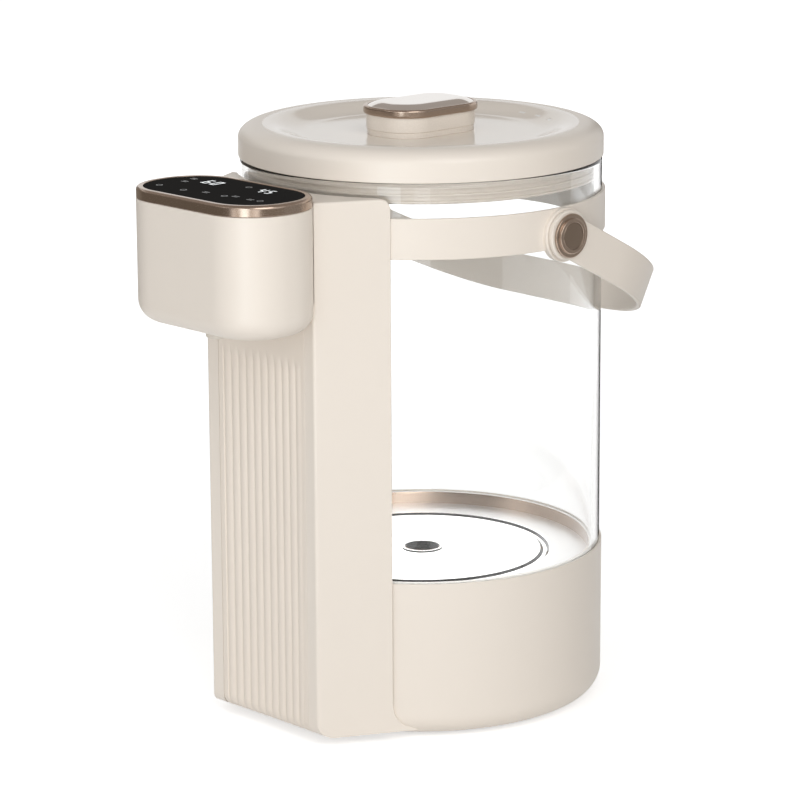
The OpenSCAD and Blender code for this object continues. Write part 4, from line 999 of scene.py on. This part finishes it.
class POT_OT_lid(bpy.types.Operator):
    """Dished lid with three steam slots, and the plug, gasket and seal lips under it"""
    bl_idname = "pot.lid"
    bl_label = "Lid"

    def execute(self, context):
        z0, skirt_in = low("lid_shell")[2], LID_R - LID_T
        foot = rounded_line([(skirt_in, SKIRT), (skirt_in, z0), (LID_R, z0), (LID_R, SKIRT)],
                            [0, 0.3, 0.5, 0], steps=5)[1:-1]
        line = np.vstack([foot, dish_line(0), dish_line(LID_T)[::-1]])
        line = np.vstack([line, line[:1]])
        # columns of points: a full turn and five across each slot, with none close to its ends
        spread = math.degrees(SLOT_HALF / SLOT_MID)
        cols = np.unique(np.round(np.concatenate(
            [turn(192)] + [np.linspace(a - spread, a + spread, 5) for a in SLOTS]), 6))
        off = abs(abs(cols[:, None] - np.array(SLOTS)) - spread)
        cols = cols[((off < 1e-5) | (off > 0.25)).all(1)]
        grid = lathe(line, cols)
        m = cell_middles(grid)
        rad, ang = np.hypot(m[..., 0], m[..., 1]), np.degrees(np.arctan2(m[..., 1], m[..., 0]))
        hole = np.zeros(rad.shape, bool)
        walls, slats = [], []
        z_out, z_in = slope_height(SLOT_OUT), slope_height(SLOT_IN)
        edges = np.array([(SLOT_OUT, z_out), (SLOT_IN, z_in)])
        for a in SLOTS:
            hole |= (rad > SLOT_IN + 0.05) & (rad < SLOT_OUT - 0.05) & (abs(ang - a) < spread)
            own = cols[(cols > a - spread - 1e-4) & (cols < a + spread + 1e-4)]
            walls += [lathe(np.array([(q, z), (q, z - LID_T)]), own) for q, z in edges]
            for b in (own[0], own[-1]):
                ends = lathe(edges, [b])[0]
                walls.append(between(ends, ends - [0, 0, LID_T]))
            ring = np.array([(SLOT_IN + 0.05, z_in - 0.12), (SLOT_OUT - 0.05, z_out - 0.12),
                             (SLOT_OUT - 0.05, z_out - 1.3), (SLOT_IN + 0.05, z_in - 1.3),
                             (SLOT_IN + 0.05, z_in - 0.12)])
            slat = lathe(ring, np.linspace(a - 0.97 * spread, a + 0.97 * spread, 5))
            slats += [slat] + [between(end[:2], end[3:1:-1]) for end in (slat[0], slat[-1])]
        piece("lid_dish", [(grid, ~hole)] + walls, "lid plastic", body="lid",
              nodes=("lid_shell",))
        piece("slot_slats", slats, "white silicone", body="lid")
        gasket, thick, flange = low("lid_gasket")[2], 1.3, skirt_in - 0.2
        top, bottom, cup, t = gasket + thick, low("lid_plug")[2] + 2.4, 88.5, 2
        plug = rounded_line([(0, bottom), (cup, bottom), (cup, top), (flange, top),
                             (flange, top + t), (cup - t, top + t), (cup - t, bottom + t),
                             (0, bottom + t)], [0, 1.2, 0, 0.2, 0.3, 0.3, 0.5, 0])
        piece("plug_cup", [lathe(plug)], "pale plastic", body="lid", nodes=("lid_plug",))
        ring = rounded_line([(cup + 0.1, gasket), (flange, gasket), (flange, top),
                             (cup + 0.1, top)], [0.1, 0.4, 0.1, 0.1], closed=True)
        piece("rim_gasket", [lathe(ring)], "silicone", body="lid", nodes=("lid_gasket",))
        # lips of the plug's seal: a step out and back for each, up to just under the gasket
        lips, first, lip_r, neck_r = 3, bottom + 0.8, 90.7, 89.5
        pitch = (gasket - first) / lips
        line, rad = [(cup, first)], [0]
        for z in first + pitch * np.arange(lips):
            line += [(lip_r, z), (lip_r, z + thick), (neck_r, z + thick), (neck_r, z + pitch)]
            rad += [0.45, 0.45, 0.3, 0.3]
        line[-1], rad[-1] = (neck_r, line[-1][1] - 0.3), 0.2
        line, rad = line + [(cup, line[-1][1])], rad + [0]
        piece("seal_lips", [lathe(rounded_line(line, rad, closed=True, steps=4))], "silicone",
              body="lid", nodes=("plug_seal",))
        return {"FINISHED"}


class POT_OT_knob(bpy.types.Operator):
    """Oblong knob with its shadow seam, rose ring and polished cap"""
    bl_idname = "pot.knob"
    bl_label = "Knob"

    def execute(self, context):
        def knob_pod(name, plan, line, finish, node, sharp=33):
            """Closed piece of the knob from its plan (width, depth, corner) and its profile."""
            piece(name, [pod(*plan, pod_rows(line), corner=20)], finish, body="lid",
                  nodes=(node,), sharp=sharp)

        # how far the ring laps over the block, and the height and depth of the shadow seam
        lap, seam, tuck = 1.3, 2.8, 0.45
        z, top = low("knob_body")[2], high("knob_body")[2] - lap
        line = rounded_line([(9, z), (tuck, z), (tuck, z + seam), (0, z + seam + 0.4), (0, top),
                             (9, top)], [0, 0.2, 0, 0.25, 0.2, 0])
        knob_pod("knob_block", (40.0, 59.0, 16.5), line, "glossy cream", "knob_body")
        rim, z, top = (43.0, 62.0, 18.0), low("knob_ring")[2], high("knob_cap")[2]
        line = rounded_line([(9, z - lap), (0, z - lap), (0, z + 3.1), (2.2, z + 3.1),
                             (2.2, z + 2.6), (9, z + 2.6)], [0, 1.1, 1.7, 0.25, 0, 0])
        knob_pod("knob_rim", rim, line, "rose metal", "knob_ring")
        # the cap rises by a quarter sine wave over the first part of its way in
        u, start, run, foot = np.linspace(0, 1, 15), 2.35, 8.0, z + 2.9
        rise = np.column_stack([start + run * u, foot + (top - foot) * np.sin(u * np.pi / 2)])
        line = np.vstack([[(8, z + 2.65), (start, z + 2.65)], rise])
        knob_pod("knob_mirror", rim, line, "mirror cap", "knob_cap", 45)
        return {"FINISHED"}


# ---------------------------------------------------------------- inner parts

INNER = {
    "heat_spreader": "cast aluminium", "heating_element": "bright steel",
    "thermostat": "dark plastic", "suction_hose": "silicone", "pump_housing": "pale plastic",
    "pump_impeller": "grey plastic", "pump_motor": "bright steel", "pump_bracket": "bright steel",
    "riser_tube": "silicone", "power_board": "green board", "tower_screws": "bright steel",
    "display_board": "green board", "head_bracket": "bright steel", "spout_seal": "silicone",
    "pivot_pin_left": "rose cap", "pivot_pin_right": "rose cap", "knob_screw": "bright steel",
}


class POT_OT_inner(bpy.types.Operator):
    """Finishes of the inner parts, and the mains inlet at the back"""
    bl_idname = "pot.inner"
    bl_label = "Inner parts"

    def execute(self, context):
        for node, finish in INNER.items():
            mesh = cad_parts[node].data
            mesh.materials.clear()
            mesh.materials.append(FINISH[finish])
        smoothed("inlet_socket", "inlet_well", "dark plastic")
        smoothed("inlet_pins", "inlet_blades", "brass")
        return {"FINISHED"}


# ---------------------------------------------------------------- studio

# the camera: its angles in radians, its place before it is turned by the azimuth, and its lens
PITCH, YAW, ROLL, AZIMUTH = math.radians(13.508), -0.0063694, -0.0051119, math.radians(46.5)
EYE, LENS = (0, -1.81164, 0.59285), 157.37
# the lamps all aim at this point, from this distance
LAMP_AIM, LAMP_AWAY = Vector((0, 0, 0.15)), 2.0


def eye_matrix():
    """Camera frame from pitch, yaw and roll about the viewing line, then turned about +Z."""
    fwd = np.array([math.sin(YAW) * math.cos(PITCH), math.cos(YAW) * math.cos(PITCH),
                    -math.sin(PITCH)])
    right = np.array([math.cos(YAW), -math.sin(YAW), 0])
    up = np.cross(right, fwd)
    r2 = math.cos(ROLL) * right + math.sin(ROLL) * up
    u2 = -math.sin(ROLL) * right + math.cos(ROLL) * up
    m = np.eye(4)
    m[:3, 0], m[:3, 1], m[:3, 2] = r2, u2, -fwd
    m[:3, 3] = EYE
    return Matrix.Rotation(AZIMUTH, 4, "Z") @ Matrix(m.tolist())


def seen_paths(tree):
    """Value that is 1 for camera, glossy and transmission rays and 0 for the others."""
    path, straight, seen = new_nodes(tree, "LightPath", "Math", "Math")
    straight.operation = seen.operation = "MAXIMUM"
    link_all(tree, [(path.outputs["Is Camera Ray"], straight.inputs[0]),
                    (path.outputs["Is Glossy Ray"], straight.inputs[1]),
                    (straight.outputs[0], seen.inputs[0]),
                    (path.outputs["Is Transmission Ray"], seen.inputs[1])])
    return seen.outputs[0]


def put(name, data):
    """Object for some data, in the scene."""
    obj = bpy.data.objects.new(name, data)
    bpy.context.scene.collection.objects.link(obj)
    return obj


def area(name, size, power, azimuth, elevation, mirrored):
    """Soft lamp in the direction of an azimuth and an elevation from the pot's middle. A lamp
    that isn't mirrored lights the pot but leaves no highlight."""
    az, el = math.radians(azimuth), math.radians(elevation)
    away = Vector((math.cos(el) * math.cos(az), math.cos(el) * math.sin(az), math.sin(el)))
    data = bpy.data.lights.new(name, "AREA")
    data.shape, data.size, data.size_y, data.energy = "RECTANGLE", size[0], size[1], power
    lamp = put(name, data)
    lamp.location = LAMP_AIM + away * LAMP_AWAY
    lamp.rotation_euler = away.to_track_quat("Z", "Y").to_euler()
    lamp.visible_glossy = mirrored


def upright(azimuth, distance, width, height, foot=0.0):
    """Corners of an upright card that faces the pot: its middle, half its width and its rise."""
    a = math.radians(azimuth)
    mid = np.array([math.cos(a) * distance, math.sin(a) * distance, foot])
    side = np.array([-math.sin(a), math.cos(a), 0]) * width / 2
    up = np.array([0, 0, height])
    return np.array([mid - side, mid + side, mid + side + up, mid - side + up]).tolist()


def sheet(name, corners):
    """Flat four-cornered sheet."""
    mesh = bpy.data.meshes.new(name)
    mesh.from_pydata(corners, [], [(0, 1, 2, 3)])
    return put(name, mesh), mesh


def level_square(half, z):
    """Corners of a level square about the axis."""
    return [(-half, -half, z), (half, -half, z), (half, half, z), (-half, half, z)]


def card(name, corners, level, tint=(1, 0.9, 0.78), shade=False, edge=False):
    """Card with a plain level and tint of its own, shown only by reflections. As a shade it only
    keeps the surround's light away. As an edge it shows only in the glass wall's own edge, where
    a ray has crossed no more than two glass faces."""
    obj, mesh = sheet(name, corners)
    mat, tree, shader = new_material(name)
    set_inputs(shader, {"Base Color": (0, 0, 0, 1), "Specular IOR Level": 0.0,
                        "Emission Color": tint + (1,), "Emission Strength": level})
    mesh.materials.append(mat)
    obj.visible_camera = obj.visible_shadow = False
    obj.visible_diffuse = shade
    obj.visible_glossy = not shade
    obj.visible_transmission = edge
    if edge:
        path, deep, clear, mix = new_nodes(tree, "LightPath", "Math", "BsdfTransparent",
                                           "MixShader")
        deep.operation = "GREATER_THAN"
        deep.inputs[1].default_value = 2.5
        link_all(tree, [(path.outputs["Transmission Depth"], deep.inputs[0]),
                        (deep.outputs[0], mix.inputs[0]), (shader.outputs[0], mix.inputs[1]),
                        (clear.outputs[0], mix.inputs[2]),
                        (mix.outputs[0], tree.nodes["Material Output"].inputs["Surface"])])


# each lamp: name, size, power, azimuth, elevation and whether metal mirrors it
LAMPS = (("key", (1.2, 1.2), 11.5, -20, 36, True), ("low fill", (1.6, 0.6), 10, -45, 6, False),
         ("strip", (0.35, 1.3), 1.5, -70, 22, True), ("left fill", (1.0, 1.0), 2.4, -112, 20, True),
         ("back fill", (1.4, 1.0), 5, 142, 14, False))


class POT_OT_studio(bpy.types.Operator):
    """Camera, pale floor, soft lamps and a plain white surround"""
    bl_idname = "pot.studio"
    bl_label = "Studio"

    def execute(self, context):
        scene = context.scene
        cam = bpy.data.cameras.new("view")
        cam.lens, cam.sensor_width, cam.clip_end = LENS, 36.0, 50
        scene.camera = put("view", cam)
        scene.camera.matrix_world = eye_matrix()
        floor, mesh = sheet("floor", level_square(9, -2e-4))
        mat, tree, shader = new_material("pale floor")
        set_inputs(shader, {"Base Color": (0.86, 0.86, 0.86, 1), "Roughness": 0.9,
                            "Specular IOR Level": 0.0, "Emission Color": (1, 1, 1, 1)})
        # the floor's own level, seen by no diffuse ray, grows from the pot outwards
        place_on, far, grow, level = new_nodes(tree, "TexCoord", "VectorMath", "MapRange", "Math")
        far.operation, level.operation = "LENGTH", "MULTIPLY"
        set_inputs(grow, {"From Min": 0.3, "From Max": 0.9, "To Min": 0.54, "To Max": 0.66})
        link_all(tree, [(place_on.outputs["Object"], far.inputs[0]),
                        (far.outputs["Value"], grow.inputs["Value"]),
                        (grow.outputs["Result"], level.inputs[1]),
                        (seen_paths(tree), level.inputs[0]),
                        (level.outputs[0], shader.inputs["Emission Strength"])])
        mesh.materials.append(mat)
        scene.world = bpy.data.worlds.new("surround")
        scene.world.use_nodes = True
        tree = scene.world.node_tree
        background, (level,) = tree.nodes["Background"], new_nodes(tree, "MapRange")
        set_inputs(background, {"Color": (1, 1, 1, 1)})
        set_inputs(level, {"To Min": 0.46, "To Max": 1.0})
        link_all(tree, [(seen_paths(tree), level.inputs["Value"]),
                        (level.outputs["Result"], background.inputs["Strength"])])
        for lamp in LAMPS:
            area(*lamp)
        card("left card", upright(-122, 0.55, 0.84, 0.5), 0.22)
        card("far left card", upright(-172, 0.55, 0.4, 0.5), 0.3)
        card("glint", upright(-62, 0.67, 0.16, 0.5), 3.4, (0.86, 0.95, 1.0))
        card("glint edge", upright(-62, 0.7, 0.36, 0.5), 0.8)
        card("front card", upright(-13, 0.5, 0.47, 0.16, 0.12), 0.3)
        card("right card", upright(35, 0.55, 0.47, 0.5), 0.42, (1.0, 0.97, 0.93))
        card("edge card", upright(107, 0.322, 0.06, 0.4), 0.03, edge=True)
        card("right shade", upright(55, 0.5, 1.1, 0.9), 0.16, shade=True)
        card("top card", level_square(2.5, 1.7), 0.42, (1.0, 0.91, 0.85))
        scene.view_settings.view_transform = "Standard"
        return {"FINISHED"}


# ---------------------------------------------------------------- add-on

STEPS = (POT_OT_finishes, POT_OT_base, POT_OT_pan, POT_OT_glass, POT_OT_collar, POT_OT_tower,
         POT_OT_flutes, POT_OT_head, POT_OT_handle, POT_OT_lid, POT_OT_knob, POT_OT_inner,
         POT_OT_studio)


class POT_PT_panel(bpy.types.Panel):
    """Sidebar panel that lists the pot's steps and values"""
    bl_idname = "POT_PT_panel"
    bl_label = "Thermo Pot"
    bl_space_type = "VIEW_3D"
    bl_region_type = "UI"
    bl_category = "Thermo Pot"

    def draw(self, context):
        col = self.layout.column()
        for step in STEPS:
            col.operator(step.bl_idname)
        for group in (context.scene.pot_sizes, context.scene.pot_colours):
            for key in group.__annotations__:
                col.prop(group, key)


CLASSES = (PotSizes, PotColours) + STEPS + (POT_PT_panel,)


def register():
    """Registers the classes and hangs the values on the scene."""
    for cls in CLASSES:
        bpy.utils.register_class(cls)
    bpy.types.Scene.pot_sizes = PointerProperty(type=PotSizes)
    bpy.types.Scene.pot_colours = PointerProperty(type=PotColours)


def unregister():
    """Takes the values and classes away again."""
    del bpy.types.Scene.pot_sizes
    del bpy.types.Scene.pot_colours
    for cls in reversed(CLASSES):
        bpy.utils.unregister_class(cls)


def main():
    """Builds everything in order."""
    register()
    for step in STEPS:
        group, name = step.bl_idname.split(".")
        getattr(getattr(bpy.ops, group), name)()


if __name__ == "__main__":
    main()
